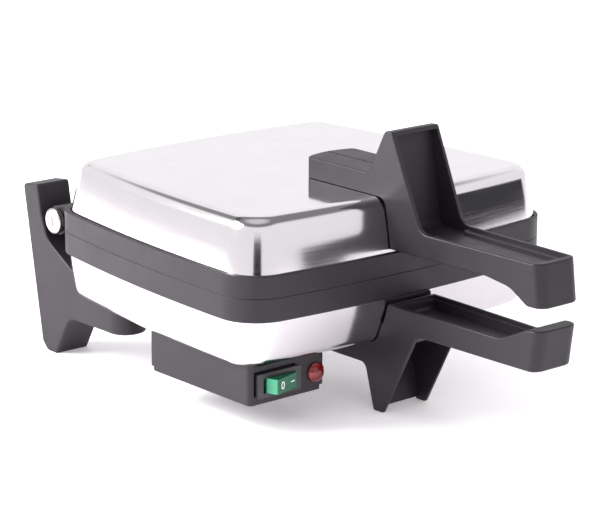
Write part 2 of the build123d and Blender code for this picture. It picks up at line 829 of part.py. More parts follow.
def bracket_profile():
    """Side view of a rear bracket as (y, z, corner radius) triples."""
    return [
        (post_front_top_y, post_top_z, 1.5),
        (post_waist_y, post_waist_z, 30.0),
        (post_knee_y, post_knee_z, 14.0),
        (post_root_y, post_root_z, 0),
        (bracket_tail_y, bracket_tail_z, 0),
        (bracket_arm_front_y, -shell_height + 2, 0),
        (bracket_arm_front_y, bracket_arm_z, 0),
        (bracket_haunch_y, bracket_arm_z, 9.0),
        (foot_front_y, foot_z, 0),
        (foot_front_y + foot_length, foot_z, 4.0),
        (post_back_foot_y, foot_z + 5, 4.0),
        (post_back_top_y, post_top_z - 1.8, 2.5),
    ]


def bracket_coring():
    """Pocket that thins a bracket from its inner side, with ribs and a post round its rear screw."""
    sharp = rounded_profile([(y, z, 0) for y, z, radius in bracket_profile()])
    face = offset(sharp, -bracket_wall, kind=Kind.INTERSECTION).face()
    face = face.moved(Location((bracket_outer_x - bracket_wall, 0, 0)))
    pocket = extrude(face, -bracket_width, dir=(1, 0, 0))
    behind = bracket_arm_front_y + bracket_width / 2 + bracket_wall
    pocket &= Pos(bracket_outer_x, behind, 0) * Box(
        4 * bracket_width, 2 * body_depth, 4 * abs(foot_z), align=(Align.CENTER, Align.MIN, Align.CENTER)
    )
    pocket -= turned_over(shell_form(bracket_wall, shell_height + bracket_wall))
    for step in (-2, -1, 0):
        rib_z = post_waist_z + step * bracket_rib_pitch
        pocket -= Pos(bracket_outer_x, rear_edge_y, rib_z) * Box(4 * bracket_width, body_depth, bracket_rib)
    pocket -= disc(2 * large_screw_radius, bracket_screw_x, bracket_screw_places()[1], foot_z, 0)
    return pocket


def rear_bracket(side):
    """Bracket at a rear corner: arm under the base, foot and a post that leans back."""
    profile = rounded_profile(bracket_profile())
    centre_x = bracket_outer_x - bracket_width / 2
    body = across(profile, bracket_width / 2)
    plan_length = 2 * body_depth
    plan = Pos(0, bracket_arm_front_y + plan_length / 2, 2 * foot_z) * RectangleRounded(
        bracket_width, plan_length, bracket_width / 2 - 0.5
    )
    body = body & extrude(plan, 4 * abs(foot_z))
    sides = [edge for edge in body.edges() if abs(abs(edge.center().X) - bracket_width / 2) < 0.01]
    body = fillet(sides, bracket_edge_radius)
    body = body.moved(Location((centre_x, 0, 0)))
    body -= turned_over(shell_form(handle_shell_gap, shell_height))
    body -= bracket_coring()
    for y in bracket_screw_places():
        bore = large_screw_radius + thread_clearance
        body -= disc(bore, bracket_screw_x, y, -shell_height - moulding_bite - 1, -shell_height + 1)
    return body if side > 0 else mirror(body, about=Plane.YZ)


def bracket_screw_places():
    """Places along Y of the two screws in each bracket arm."""
    first = bracket_arm_front_y + bracket_screw_front_inset
    return (first, first + bracket_screw_pitch)


def bracket_screws():
    """Pan-head screws from inside the lower shell into the brackets' arms."""
    screws = []
    inside = -shell_height + shell_thickness
    for side in (-1, 1):
        for y in bracket_screw_places():
            x = side * bracket_screw_x
            head = disc(2 * large_screw_radius, x, y, inside, inside + head_height)
            shank = disc(large_screw_radius, x, y, -shell_height - moulding_bite, inside + 1)
            screws.append(head + shank)
    return Compound(children=screws)


def box_screw_points():
    """Places of the cover's four screws, along the control box's side walls."""
    inset = box_wall + box_post_radius - box_post_overlap
    return [
        (x, y)
        for x in (box_left_x + inset, box_right_x - inset)
        for y in (box_front_y + box_front_post_inset, box_rear_y - inset)
    ]


def box_block(inset, step, bottom, top):
    """Upright block with the control box's outline moved inwards, and stepped in at right and rear."""
    width = box_right_x - box_left_x - 2 * inset - step
    depth = box_rear_y - box_front_y - 2 * inset - step
    outline = RectangleRounded(width, depth, max(box_corner_radius - inset, 0.5))
    centre = Pos((box_left_x + box_right_x - step) / 2, (box_front_y + box_rear_y - step) / 2, bottom)
    return extrude(centre * outline, top - bottom)


def control_box():
    """Moulded housing under the base, open below, with posts for the cover's screws."""
    wall_bottom = box_bottom_z + cover_thickness
    roof_bottom = box_seat_z - box_roof_thickness
    housing = box_block(0, 0, wall_bottom, box_seat_z + box_saddle_rise)
    housing -= box_block(box_wall, 0, wall_bottom - 1, roof_bottom)
    housing -= turned_over(shell_form(handle_shell_gap, shell_height))
    for x, y in box_screw_points():
        housing += disc(box_post_radius, x, y, wall_bottom, roof_bottom + 0.5)
        bore = cover_screw_radius + thread_clearance
        housing -= disc(bore, x, y, wall_bottom - 1, wall_bottom + box_screw_length + 1)
    housing -= Pos(switch_x, box_front_y, control_z) * Box(
        switch_body_width + 4 * snap_clearance, 3 * box_wall, switch_body_height + 4 * snap_clearance
    )
    for x, radius, wall_y in (
        (lamp_x, lamp_holder_radius, box_front_y + box_wall / 2),
        (gland_x, gland_shank_radius, box_rear_y - box_wall / 2),
    ):
        housing -= pin_along_y(radius + snap_clearance, wall_y - box_wall, wall_y + box_wall, x, control_z)
    housing -= disc(bushing_radius + snap_clearance, bushing_x, bushing_y, roof_bottom - 1, box_seat_z + 1)
    return housing


def control_box_cover():
    """Bottom plate, flush at the front and left, stepped in at the right and rear."""
    block = box_block(0, cover_step, box_bottom_z, box_bottom_z + cover_thickness)
    block = fillet(block.faces().sort_by(Axis.Z)[0].edges(), cover_edge_radius)
    for x, y in box_screw_points():
        block -= disc(cover_screw_radius + hole_clearance, x, y, box_bottom_z - 1, 0)
        sink_radius = 2 * cover_screw_radius + hole_clearance
        block -= disc(sink_radius, x, y, box_bottom_z - 1, box_bottom_z + cover_head_sink)
    return block


def control_box_screws():
    """Pan-head screws sunk in the cover, up into the housing's posts."""
    screws = []
    for x, y in box_screw_points():
        head_z = box_bottom_z + cover_head_sink
        head = disc(2 * cover_screw_radius, x, y, box_bottom_z + snap_clearance, head_z)
        tip_z = box_bottom_z + cover_thickness + box_screw_length
        screws.append(head + disc(cover_screw_radius, x, y, head_z - 1, tip_z))
    return Compound(children=screws)


def switch_body():
    """Snap-in switch housing: bezel on the box's front, pocket for the rocker, three tabs."""
    front = Pos(switch_x, box_front_y - bezel_thickness, control_z)
    on_front = (Align.CENTER, Align.MIN, Align.CENTER)
    bezel = Box(bezel_width, bezel_thickness, bezel_height, align=on_front)
    switch = fillet((bezel.edges() | Axis.Y), bezel_corner_radius)
    depth = bezel_thickness + switch_body_depth
    switch += Box(switch_body_width, depth, switch_body_height, align=on_front)
    switch -= Box(rocker_opening_width, rocker_pocket_depth, rocker_opening_height, align=on_front)
    bore_reach = rocker_pin_reach + snap_clearance
    switch -= disc(rocker_pin_radius + running_clearance, 0, rocker_pivot_depth, -bore_reach, bore_reach)
    for step in (-1, 0, 1):
        tab = Box(tab_thickness, tab_length, tab_width, align=on_front)
        switch += Pos(step * tab_pitch, depth, 0) * tab
    return front * switch


def rocker():
    """Rocker tipped to its right-hand side, on two short pins."""
    pivot_y = box_front_y - bezel_thickness + rocker_pivot_depth
    points = [
        (-rocker_face_half, -rocker_face_height),
        (rocker_face_half, -rocker_face_height),
        (rocker_base_half, -rocker_base_height),
        (rocker_face_half * 0.6, rocker_back),
        (-rocker_face_half * 0.6, rocker_back),
        (-rocker_base_half, -rocker_base_height),
    ]
    face = make_face(Polyline(*points, close=True)).face()
    face = face.fillet_2d(0.8, face.vertices().sort_by(Axis.Y)[:2])
    key = extrude(face.moved(Location((0, 0, -rocker_height / 2))), rocker_height, dir=(0, 0, 1))
    key += disc(rocker_pin_radius, 0, 0, -rocker_pin_reach, rocker_pin_reach)
    return key.moved(Location((switch_x, pivot_y, control_z), (0, 0, rocker_tilt)))


def lamp_lens():
    """Domed lens with a flange on the box's front and a shank in the holder."""
    flange_front = box_front_y - lamp_flange
    ball_radius = (lamp_radius**2 + lamp_dome**2) / (2 * lamp_dome)
    ball = Pos(lamp_x, flange_front - lamp_dome + ball_radius, control_z) * Sphere(ball_radius)
    dome = pin_along_y(lamp_radius, flange_front - 2 * lamp_dome, flange_front, lamp_x, control_z) & ball
    lens = dome + pin_along_y(lamp_radius, flange_front, box_front_y, lamp_x, control_z)
    shank_end = box_front_y + lamp_shank_length
    return lens + pin_along_y(lamp_shank_radius, box_front_y, shank_end, lamp_x, control_z)


def lamp_holder():
    """Plastic tube behind the lens, through the box's front, with two tabs."""
    end = box_front_y + lamp_holder_length
    bore_end = box_front_y + lamp_shank_length + hole_clearance
    tube = pin_along_y(lamp_holder_radius, box_front_y, end, lamp_x, control_z)
    tube -= pin_along_y(lamp_shank_radius + thread_clearance, box_front_y - 1, bore_end, lamp_x, control_z)
    for side in (-1, 1):
        tab_z = control_z + side * holder_tab_pitch / 2
        tube += Pos(lamp_x, end, tab_z) * Box(
            tab_width / 2, tab_length, tab_thickness, align=(Align.CENTER, Align.MIN, Align.CENTER)
        )
    return tube


def terminal_block():
    """Ceramic block under the box's roof with three clamping bores."""
    top = box_seat_z - box_roof_thickness
    bore_z = top - block_height / 2
    outline = Pos(block_x, block_y, top) * RectangleRounded(block_width, block_depth, terminal_bore_radius)
    block = extrude(outline, -block_height)
    for step in (-1, 0, 1):
        x = block_x + step * terminal_pitch
        block -= pin_along_y(terminal_bore_radius, block_y - block_depth, block_y + block_depth, x, bore_z)
        block -= disc(terminal_screw_radius, x, block_y, top - block_height - 1, bore_z)
    return block


def cord_gland():
    """Cord bush through the box's rear wall: a flange outside, a snap ring inside."""
    outside = box_rear_y + gland_flange_thickness
    ring_end = box_rear_y - box_wall - snap_clearance
    inside = ring_end - snap_ring_length
    gland = pin_along_y(gland_shank_radius, inside, box_rear_y + 1, gland_x, control_z)
    flange = pin_along_y(gland_flange_radius, box_rear_y, outside, gland_x, control_z)
    rear_edge = flange.edges().filter_by(GeomType.CIRCLE).sort_by(Axis.Y)[-1]
    gland += fillet([rear_edge], gland_edge_radius)
    gland += pin_along_y(gland_shank_radius + snap_ring_rise, inside, ring_end, gland_x, control_z)
    return gland - pin_along_y(gland_bore_radius, inside - 1, outside + 1, gland_x, control_z)


def lead_bushing():
    """Ceramic bush that takes the leads through the shell from the control box."""
    roof_bottom = box_seat_z - box_roof_thickness
    inside = box_seat_z + shell_thickness
    bush = disc(bushing_radius, bushing_x, bushing_y, roof_bottom - 1, inside + 1)
    bush += disc(bushing_flange_radius, bushing_x, bushing_y, inside, inside + 2)
    return bush - disc(bushing_bore_radius, bushing_x, bushing_y, roof_bottom - 2, inside + 3)


def thermostat():
    """Snap-action thermostat on the back of the lower plate."""
    body = disc(thermostat_radius, 0, 0, plate_back_z, plate_back_z + thermostat_height)
    for step in (-1, 1):
        body += Pos(step * (thermostat_radius + 2), 0, plate_back_z + thermostat_height / 2) * Box(
            thermostat_blade_length, tab_width, tab_thickness
        )
    return turned_over(body)


def lid_shell():
    """Upper shell, pierced for the handle's screws."""
    shell = steel_shell()
    for y in handle_screw_places():
        shell -= disc(large_screw_radius + hole_clearance, 0, y, shell_height - 3, shell_height + 1)
    return shell


def base_shell():
    """Lower shell, pierced for the handle's and brackets' screws and the leads."""
    shell = lid_shell()
    hole = large_screw_radius + hole_clearance
    for x in (-bracket_screw_x, bracket_screw_x):
        for y in bracket_screw_places():
            shell -= disc(hole, x, y, shell_height - 3, shell_height + 1)
    shell -= disc(bushing_radius + 0.1, bushing_x, bushing_y, shell_height - 3, shell_height + 1)
    return turned_over(shell)


def all_parts():
    """Every node of the model by name."""
    plate = baking_plate()
    element = heater()
    clamps = heater_clamps()
    sheet = reflector()
    sheet_screws = reflector_screws()
    flat_screws = plate_screws()
    nuts = plate_nuts()
    arm_screws = handle_screws()
    return {
        "upper_shell": lid_shell(),
        "upper_rim": upper_rim(),
        "upper_handle": upper_handle(),
        "upper_baking_plate": plate,
        "upper_plate_screws": flat_screws,
        "upper_plate_nuts": nuts,
        "upper_heater": element,
        "upper_heater_clamps": clamps,
        "upper_reflector": sheet,
        "upper_reflector_screws": sheet_screws,
        "upper_handle_screws": arm_screws,
        "hinge_bushes": hinge_bushes(),
        "lower_shell": base_shell(),
        "lower_rim": lower_rim(),
        "lower_handle": lower_handle(),
        "lower_baking_plate": turned_over(plate),
        "lower_plate_screws": turned_over(flat_screws),
        "lower_plate_nuts": turned_over(nuts),
        "lower_heater": turned_over(element),
        "lower_heater_clamps": turned_over(clamps),
        "lower_reflector": turned_over(sheet),
        "lower_reflector_screws": turned_over(sheet_screws),
        "lower_handle_screws": turned_over(arm_screws),
        "hinge_screws": hinge_screws(),
        "rear_bracket_left": rear_bracket(-1),
        "rear_bracket_right": rear_bracket(1),
        "rear_bracket_screws": bracket_screws(),
        "thermostat": thermostat(),
        "control_box": control_box(),
        "control_box_cover": control_box_cover(),
        "control_box_screws": control_box_screws(),
        "switch_body": switch_body(),
        "rocker": rocker(),
        "lamp_lens": lamp_lens(),
        "lamp_holder": lamp_holder(),
        "terminal_block": terminal_block(),
        "cord_gland": cord_gland(),
        "lead_bushing": lead_bushing(),
    }


# The finished frame stands on the feet, with its origin under the middle of the whole object.
os.makedirs("parts", exist_ok=True)
parts = all_parts()
front_y = min(shape.bounding_box().min.Y for shape in parts.values())
rear_y = max(shape.bounding_box().max.Y for shape in parts.values())
middle_y = (front_y + rear_y) / 2
to_frame = Location((0, -middle_y, -foot_z))
for name, shape in parts.items():
    export_step(shape.moved(to_frame), f"parts/{name}.step")
print("hinge axis at y", round(hinge_y - middle_y, 3), "z", round(-foot_z, 3))
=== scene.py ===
import json
import math

import bmesh
import bpy
from mathutils import Matrix, Vector

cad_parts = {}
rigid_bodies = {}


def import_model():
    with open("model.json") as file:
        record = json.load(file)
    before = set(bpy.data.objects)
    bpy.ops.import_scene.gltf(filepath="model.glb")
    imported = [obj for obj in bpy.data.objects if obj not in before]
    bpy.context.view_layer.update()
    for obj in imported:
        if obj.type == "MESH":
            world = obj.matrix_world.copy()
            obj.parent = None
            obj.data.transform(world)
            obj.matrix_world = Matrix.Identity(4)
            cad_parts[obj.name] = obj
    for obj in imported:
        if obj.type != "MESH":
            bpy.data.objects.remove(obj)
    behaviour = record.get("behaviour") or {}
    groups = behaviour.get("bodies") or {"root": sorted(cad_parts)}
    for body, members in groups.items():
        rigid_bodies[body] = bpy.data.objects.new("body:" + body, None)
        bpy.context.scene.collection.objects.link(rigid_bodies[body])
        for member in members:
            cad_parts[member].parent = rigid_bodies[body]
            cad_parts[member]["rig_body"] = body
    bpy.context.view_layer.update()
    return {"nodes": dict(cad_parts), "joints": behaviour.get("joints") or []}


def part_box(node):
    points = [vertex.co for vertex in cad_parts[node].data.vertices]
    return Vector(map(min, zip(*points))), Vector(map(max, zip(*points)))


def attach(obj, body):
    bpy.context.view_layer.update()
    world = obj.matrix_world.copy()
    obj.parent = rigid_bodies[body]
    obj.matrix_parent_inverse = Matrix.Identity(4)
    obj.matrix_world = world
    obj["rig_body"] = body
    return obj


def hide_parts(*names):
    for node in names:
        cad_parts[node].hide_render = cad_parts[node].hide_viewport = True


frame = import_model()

bl_info = {
    "name": "Electric waffle maker",
    "version": (1, 0, 0),
    "blender": (4, 5, 0),
    "location": "3D View > Sidebar > Waffle maker",
    "description": "Steel shells, mouldings, plates, knobs and switch of a waffle maker",
    "category": "Object",
}

MM = 0.001
JOINTS = {joint["name"]: Vector(joint["pos_m"]) for joint in frame["joints"]}
HINGE = JOINTS["lid_hinge"]
ROCKER_PIVOT = JOINTS["rocker_tilt"]
HINGE_BEHIND_MIDDLE = 114.4
SEAM_Z = HINGE.z
SEAM_Y = HINGE.y - HINGE_BEHIND_MIDDLE * MM
MERGE_DISTANCE = 2e-6
CRISP_ANGLE = math.radians(25)
FLAT_WEIGHT = 80
NOISE_MIDDLE = (0.3, 0.7)


# Helpers for meshes and materials


def linear(hex_colour):
    """A hex sRGB colour as the linear values that Blender's sockets take."""
    values = []
    for start in (1, 3, 5):
        part = int(hex_colour[start:start + 2], 16) / 255
        values.append(part / 12.92 if part <= 0.04045 else ((part + 0.055) / 1.055) ** 2.4)
    return (*values, 1.0)


def set_inputs(tree, node, links):
    """Sets a node's inputs, by name or number, each to a socket or a value."""
    for name, value in links.items():
        socket = node.inputs[name]
        if isinstance(value, bpy.types.NodeSocket):
            tree.links.new(value, socket)
        else:
            socket.default_value = value


def add_node(tree, kind, links=None, **settings):
    """Adds a node; links set its inputs to a socket or a value, settings its own properties."""
    node = tree.nodes.new(kind)
    for name, value in settings.items():
        setattr(node, name, value)
    set_inputs(tree, node, links or {})
    return node


def new_material(name):
    """An empty node material with its Principled shader and Object coordinates."""
    material = bpy.data.materials.new(name)
    material.use_nodes = True
    tree = material.node_tree
    tree.nodes.clear()
    shader = add_node(tree, "ShaderNodeBsdfPrincipled")
    add_node(tree, "ShaderNodeOutputMaterial", {"Surface": shader.outputs[0]})
    place = add_node(tree, "ShaderNodeTexCoord").outputs["Object"]
    return material, tree, shader, place


def grain(tree, place, size_mm, stretch=(1, 1, 1), detail=3.0):
    """Noise whose features are about size_mm across, stretched along the axes."""
    scale = tuple(1000 / size_mm / factor for factor in stretch)
    mapping = add_node(tree, "ShaderNodeMapping", {"Vector": place, "Scale": scale})
    links = {"Vector": mapping.outputs[0], "Scale": 1.0, "Detail": detail}
    return add_node(tree, "ShaderNodeTexNoise", links).outputs["Fac"]


def spread(tree, value, low, high):
    """Maps a noise's middle range onto low to high."""
    start, end = NOISE_MIDDLE
    limits = {"Value": value, "From Min": start, "From Max": end, "To Min": low, "To Max": high}
    return add_node(tree, "ShaderNodeMapRange", limits).outputs[0]


def tint(tree, value, first, second):
    """Mixes two colours by a value; each is a hex colour, a linear one or a socket."""
    first, second = (linear(colour) if isinstance(colour, str) else colour for colour in (first, second))
    links = {"Factor": value, 6: first, 7: second}
    return add_node(tree, "ShaderNodeMix", links, data_type="RGBA").outputs[2]


def bump(tree, height, depth_mm, normal=None):
    """Bump of a real depth."""
    links = {"Height": height, "Distance": depth_mm * MM, "Strength": 1.0}
    if normal is not None:
        links["Normal"] = normal
    return add_node(tree, "ShaderNodeBump", links).outputs[0]


def mesh_object(name, vertices, faces, material):
    """A mesh object at the origin from points in metres."""
    mesh = bpy.data.meshes.new(name)
    mesh.from_pydata(vertices, [], faces)
    mesh.materials.append(material)
    piece = bpy.data.objects.new(name, mesh)
    bpy.context.scene.collection.objects.link(piece)
    return piece


def seat(piece, body, slot, *replaced):
    """Rides a finished piece on its body and hides the nodes it stands for; the slot is not used."""
    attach(piece, body)
    if replaced:
        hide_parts(*replaced)
    return piece


def body_of_node(node):
    """Name of the body that carries a node."""
    return frame["nodes"][node]["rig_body"]


def smooth_faces(mesh, angle):
    """Smooth shading, with edges sharper than the angle kept crisp."""
    work = bmesh.new()
    work.from_mesh(mesh)
    bmesh.ops.remove_doubles(work, verts=work.verts, dist=MERGE_DISTANCE)
    for face in work.faces:
        face.smooth = True
    for edge in work.edges:
        edge.smooth = len(edge.link_faces) == 2 and edge.calc_face_angle(0.0) < angle
    work.to_mesh(mesh)
    work.free()


def finished_copy(node, name, material):
    """A merged and smoothly shaded copy of a CAD node that takes the node's place."""
    mesh = frame["nodes"][node].data.copy()
    mesh.name = name
    mesh.materials.clear()
    mesh.materials.append(material)
    smooth_faces(mesh, CRISP_ANGLE)
    piece = bpy.data.objects.new(name, mesh)
    bpy.context.scene.collection.objects.link(piece)
    weighted = piece.modifiers.new("even_flats", "WEIGHTED_NORMAL")
    weighted.keep_sharp = True
    weighted.weight = FLAT_WEIGHT
    return piece


def as_plain_mesh(piece):
    """Applies every modifier of a piece to its mesh."""
    graph = bpy.context.evaluated_depsgraph_get()
    mesh = bpy.data.meshes.new_from_object(piece.evaluated_get(graph))
    piece.modifiers.clear()
    piece.data = mesh
    return piece


def new_shape_tree(name, inputs):
    """A Geometry Nodes tree with a geometry in and out and further named inputs."""
    tree = bpy.data.node_groups.new(name, "GeometryNodeTree")
    tree.interface.new_socket("Geometry", in_out="INPUT", socket_type="NodeSocketGeometry")
    for label, kind in inputs.items():
        tree.interface.new_socket(label, in_out="INPUT", socket_type=kind)
    tree.interface.new_socket("Geometry", in_out="OUTPUT", socket_type="NodeSocketGeometry")
    return tree, add_node(tree, "NodeGroupInput").outputs


def end_tree(tree, geometry, material):
    """Ends a tree: instances made real, its material set, and out."""
    real = add_node(tree, "GeometryNodeRealizeInstances", {"Geometry": geometry})
    coated = add_node(tree, "GeometryNodeSetMaterial", {"Geometry": real.outputs[0], "Material": material})
    add_node(tree, "NodeGroupOutput", {"Geometry": coated.outputs[0]})


def run_tree(piece, tree, values):
    """Runs a tree on a piece with its named inputs set, and leaves a plain mesh."""
    modifier = piece.modifiers.new(tree.name, "NODES")
    modifier.node_group = tree
    for item in tree.interface.items_tree:
        if item.in_out == "INPUT" and item.name in values:
            modifier[item.identifier] = values[item.name]
    return as_plain_mesh(piece)


def loose_part_tops(mesh, up):
    """Middle of each loose part of a mesh, at its highest point along Z, or its lowest."""
    work = bmesh.new()
    work.from_mesh(mesh)
    work.verts.ensure_lookup_table()
    left = set(work.verts)
    tops = []
    while left:
        reached = [left.pop()]
        for vertex in reached:
            for edge in vertex.link_edges:
                other = edge.other_vert(vertex)
                if other in left:
                    left.discard(other)
                    reached.append(other)
        xs, ys, zs = zip(*(vertex.co for vertex in reached))
        tops.append(((min(xs) + max(xs)) / 2, (min(ys) + max(ys)) / 2, max(zs) if up else min(zs)))
    work.free()
    return tops


def paint(node, material):
    """Gives a CAD node that stays in view its material."""
    mesh = frame["nodes"][node].data
    mesh.materials.clear()
    mesh.materials.append(material)


# Materials

# How far up a normal points where brushed steel starts to turn buffed and where it has turned,
# and how far along X one points where the painted light on the rocker's left end (a paler green standing for
# light from the left) starts and where it is full
BRUSHED_TO_BUFFED = (0.55, 0.98)
LEFT_END_PAINTED_LIGHT_TURN = (-0.5, -0.9)
FIBRE_SHADE = 0.985
PAPER_GLOW = 0.22


def polished_stainless(settings):
    """Deep-drawn 18/8 stainless steel, top buffed to a mirror, sides satin-brushed along the rim.
    The brushing blurs what the sides mirror; the top shows the handle's reflection."""
    material, tree, shader, place = new_material("polished_stainless")
    facing = add_node(tree, "ShaderNodeTexCoord").outputs["Normal"]
    upright = add_node(tree, "ShaderNodeSeparateXYZ", {"Vector": facing}).outputs["Z"]
    level = add_node(tree, "ShaderNodeMath", {0: upright}, operation="ABSOLUTE").outputs[0]
    brushed, buffed = BRUSHED_TO_BUFFED
    limits = {"Value": level, "From Min": brushed, "From Max": buffed, "To Min": 1.0, "To Max": 0.0}
    side_share = add_node(tree, "ShaderNodeMapRange", limits).outputs[0]
    scratches = grain(tree, place, 0.6, (60, 60, 1), 4.0)
    haze = grain(tree, place, 24.0, detail=2.0)
    satin = spread(tree, scratches, settings.side_roughness - 0.03, settings.side_roughness + 0.03)
    mirror = spread(tree, haze, settings.top_roughness - 0.02, settings.top_roughness + 0.03)
    shares = {"Factor": side_share, 2: mirror, 3: satin}
    top_colour = tint(tree, haze, "#DCDADC", "#E6E4E6")
    side_colour = tint(tree, haze, "#D6D3D6", "#DEDADD")
    scored = {0: scratches, 1: side_share}
    lines = add_node(tree, "ShaderNodeMath", scored, operation="MULTIPLY").outputs[0]
    surface = {
        "Base Color": tint(tree, side_share, top_colour, side_colour),
        "Roughness": add_node(tree, "ShaderNodeMix", shares, data_type="FLOAT").outputs[0],
        "Metallic": 1.0,
        "Normal": bump(tree, lines, 0.002, bump(tree, haze, 0.02)),
    }
    set_inputs(tree, shader, surface)
    return material


def moulded_phenolic(settings):
    """Compression-moulded dark grey phenolic, satin from a spark-eroded mould.
    The grain scatters light softly, and the filler shows as faint cloudiness."""
    material, tree, shader, place = new_material("moulded_phenolic")
    fine = grain(tree, place, 0.45, detail=4.0)
    cloud = grain(tree, place, 18.0)
    surface = {
        "Base Color": tint(tree, cloud, "#1D191F", "#241F26"),
        "Roughness": spread(tree, cloud, 0.42, 0.52),
        "Normal": bump(tree, fine, settings.grain_depth / MM),
        "IOR": 1.56,
        "Specular IOR Level": 0.35,
    }
    set_inputs(tree, shader, surface)
    return material


def nickel_plate():
    """Turned steel with bright nickel plate, faintly marked by the turning."""
    material, tree, shader, place = new_material("nickel_plated_steel")
    marks = grain(tree, place, 0.5, detail=2.0)
    surface = {
        "Base Color": tint(tree, marks, "#BDB9B6", "#D9D5D2"),
        "Roughness": spread(tree, marks, 0.2, 0.32),
        "Metallic": 1.0,
    }
    set_inputs(tree, shader, surface)
    return material


def zinc_plate():
    """Zinc-plated steel screw: cool grey, slightly blotchy and duller than nickel."""
    material, tree, shader, place = new_material("zinc_plated_steel")
    blotch = grain(tree, place, 1.6)
    surface = {
        "Base Color": tint(tree, blotch, "#9C9C9A", "#C3C3C0"),
        "Roughness": spread(tree, blotch, 0.3, 0.45),
        "Metallic": 1.0,
    }
    set_inputs(tree, shader, surface)
    return material


def non_stick_casting():
    """Sand-blasted cast aluminium under a dark non-stick coat; fine pimples and faint sheen."""
    material, tree, shader, place = new_material("non_stick_cast_aluminium")
    pimples = grain(tree, place, 0.8, detail=4.0)
    cloud = grain(tree, place, 30.0)
    surface = {
        "Base Color": tint(tree, cloud, "#29292A", "#323233"),
        "Roughness": spread(tree, cloud, 0.34, 0.46),
        "Normal": bump(tree, pimples, 0.03),
        "IOR": 1.4,
    }
    set_inputs(tree, shader, surface)
    return material


def bare_sheet(name, dark, light, roughness):
    """Bare metal sheet or tube inside the housing, with rolling haze."""
    material, tree, shader, place = new_material(name)
    haze = grain(tree, place, 6.0, (1, 6, 1))
    surface = {
        "Base Color": tint(tree, haze, dark, light),
        "Roughness": spread(tree, haze, roughness - 0.06, roughness + 0.06),
        "Metallic": 1.0,
    }
    set_inputs(tree, shader, surface)
    return material


def fired_steatite():
    """Fired steatite ceramic: matt, cream, faintly speckled."""
    material, tree, shader, place = new_material("fired_steatite")
    speckle = grain(tree, place, 0.9)
    surface = {
        "Base Color": tint(tree, speckle, "#CFC8B6", "#E9E4D6"),
        "Roughness": spread(tree, speckle, 0.5, 0.66),
    }
    set_inputs(tree, shader, surface)
    return material


def black_nylon():
    """Injection-moulded black nylon switch frame, finely textured."""
    material, tree, shader, place = new_material("moulded_black_nylon")
    fine = grain(tree, place, 0.35)
    surface = {
        "Base Color": tint(tree, fine, "#2E2C30", "#39373B"),
        "Roughness": spread(tree, fine, 0.36, 0.46),
        "Normal": bump(tree, fine, 0.01),
    }
    set_inputs(tree, shader, surface)
    return material


def rocker_polycarbonate():
    """Injection-moulded green polycarbonate, glossy and translucent.
    Its thick left end is painted paler than the face over the lamp chamber: painted light, a glow standing
    for the light from the left."""
    material, tree, shader, place = new_material("green_polycarbonate")
    cloud = grain(tree, place, 5.0)
    facing = add_node(tree, "ShaderNodeTexCoord").outputs["Normal"]
    leftward = add_node(tree, "ShaderNodeSeparateXYZ", {"Vector": facing}).outputs["X"]
    # Painted light: faces that point left get a paler green, a painted glow standing for the light from the
    # left
    face, end = LEFT_END_PAINTED_LIGHT_TURN
    limits = {"Value": leftward, "From Min": face, "From Max": end, "To Min": 0.0, "To Max": 1.0}
    painted_light_share = add_node(tree, "ShaderNodeMapRange", limits).outputs[0]
    face_colour = tint(tree, cloud, "#07563B", "#0B6546")
    painted_lit_end_colour = tint(tree, cloud, "#2C9870", "#3BA980")
    surface = {
        "Base Color": tint(tree, painted_light_share, face_colour, painted_lit_end_colour),
        "Roughness": spread(tree, cloud, 0.16, 0.22),
        "IOR": 1.58,
        "Subsurface Weight": 0.35,
        "Subsurface Radius": (0.2, 1.0, 0.5),
        "Subsurface Scale": 2.0 * MM,
    }
    set_inputs(tree, shader, surface)
    return material


def lamp_polycarbonate():
    """Red tinted polycarbonate lens, glossy and clear, over its lamp chamber."""
    material, tree, shader, place = new_material("red_polycarbonate")
    cloud = grain(tree, place, 3.0)
    surface = {
        "Base Color": tint(tree, cloud, "#A80F1E", "#C2182A"),
        "Roughness": spread(tree, cloud, 0.05, 0.09),
        "IOR": 1.58,
        "Transmission Weight": 0.75,
    }
    set_inputs(tree, shader, surface)
    return material


def printed_white():
    """White screen-printed ink, matt."""
    material, tree, shader, place = new_material("white_screen_print")
    speckle = grain(tree, place, 0.3)
    surface = {
        "Base Color": tint(tree, speckle, "#E6E8E6", "#FFFFFF"),
        "Roughness": spread(tree, speckle, 0.4, 0.55),
    }
    set_inputs(tree, shader, surface)
    return material


def bush_rubber():
    """Black moulded rubber, dull, with a faint bloom."""
    material, tree, shader, place = new_material("moulded_rubber")
    bloom = grain(tree, place, 2.5)
    surface = {
        "Base Color": tint(tree, bloom, "#1B1A1B", "#282728"),
        "Roughness": spread(tree, bloom, 0.6, 0.75),
    }
    set_inputs(tree, shader, surface)
    return material


def studio_paper(colour):
    """Matt seamless paper for the floor, with a little glow so that shadows stay pale."""
    material, tree, shader, place = new_material("seamless_paper")
    fibre = spread(tree, grain(tree, place, 3.0), 0.0, 1.0)
    pale = (*colour[:3], 1.0)
    shaded = (*(part * FIBRE_SHADE for part in colour[:3]), 1.0)
    surface = {
        "Base Color": tint(tree, fibre, shaded, pale),
        "Roughness": 0.9,
        "Specular IOR Level": 0.2,
        "Emission Color": pale,
        "Emission Strength": PAPER_GLOW,
    }
    set_inputs(tree, shader, surface)
    return material


def dark_felt():
    """Black felt of a studio flag, napped and matt."""
    material, tree, shader, place = new_material("black_felt")
    nap = grain(tree, place, 2.0)
    surface = {
        "Base Color": tint(tree, nap, "#17171A", "#222226"),
        "Roughness": 1.0,
        "Specular IOR Level": 0.1,
    }
    set_inputs(tree, shader, surface)
    return material


# Sizes and colours


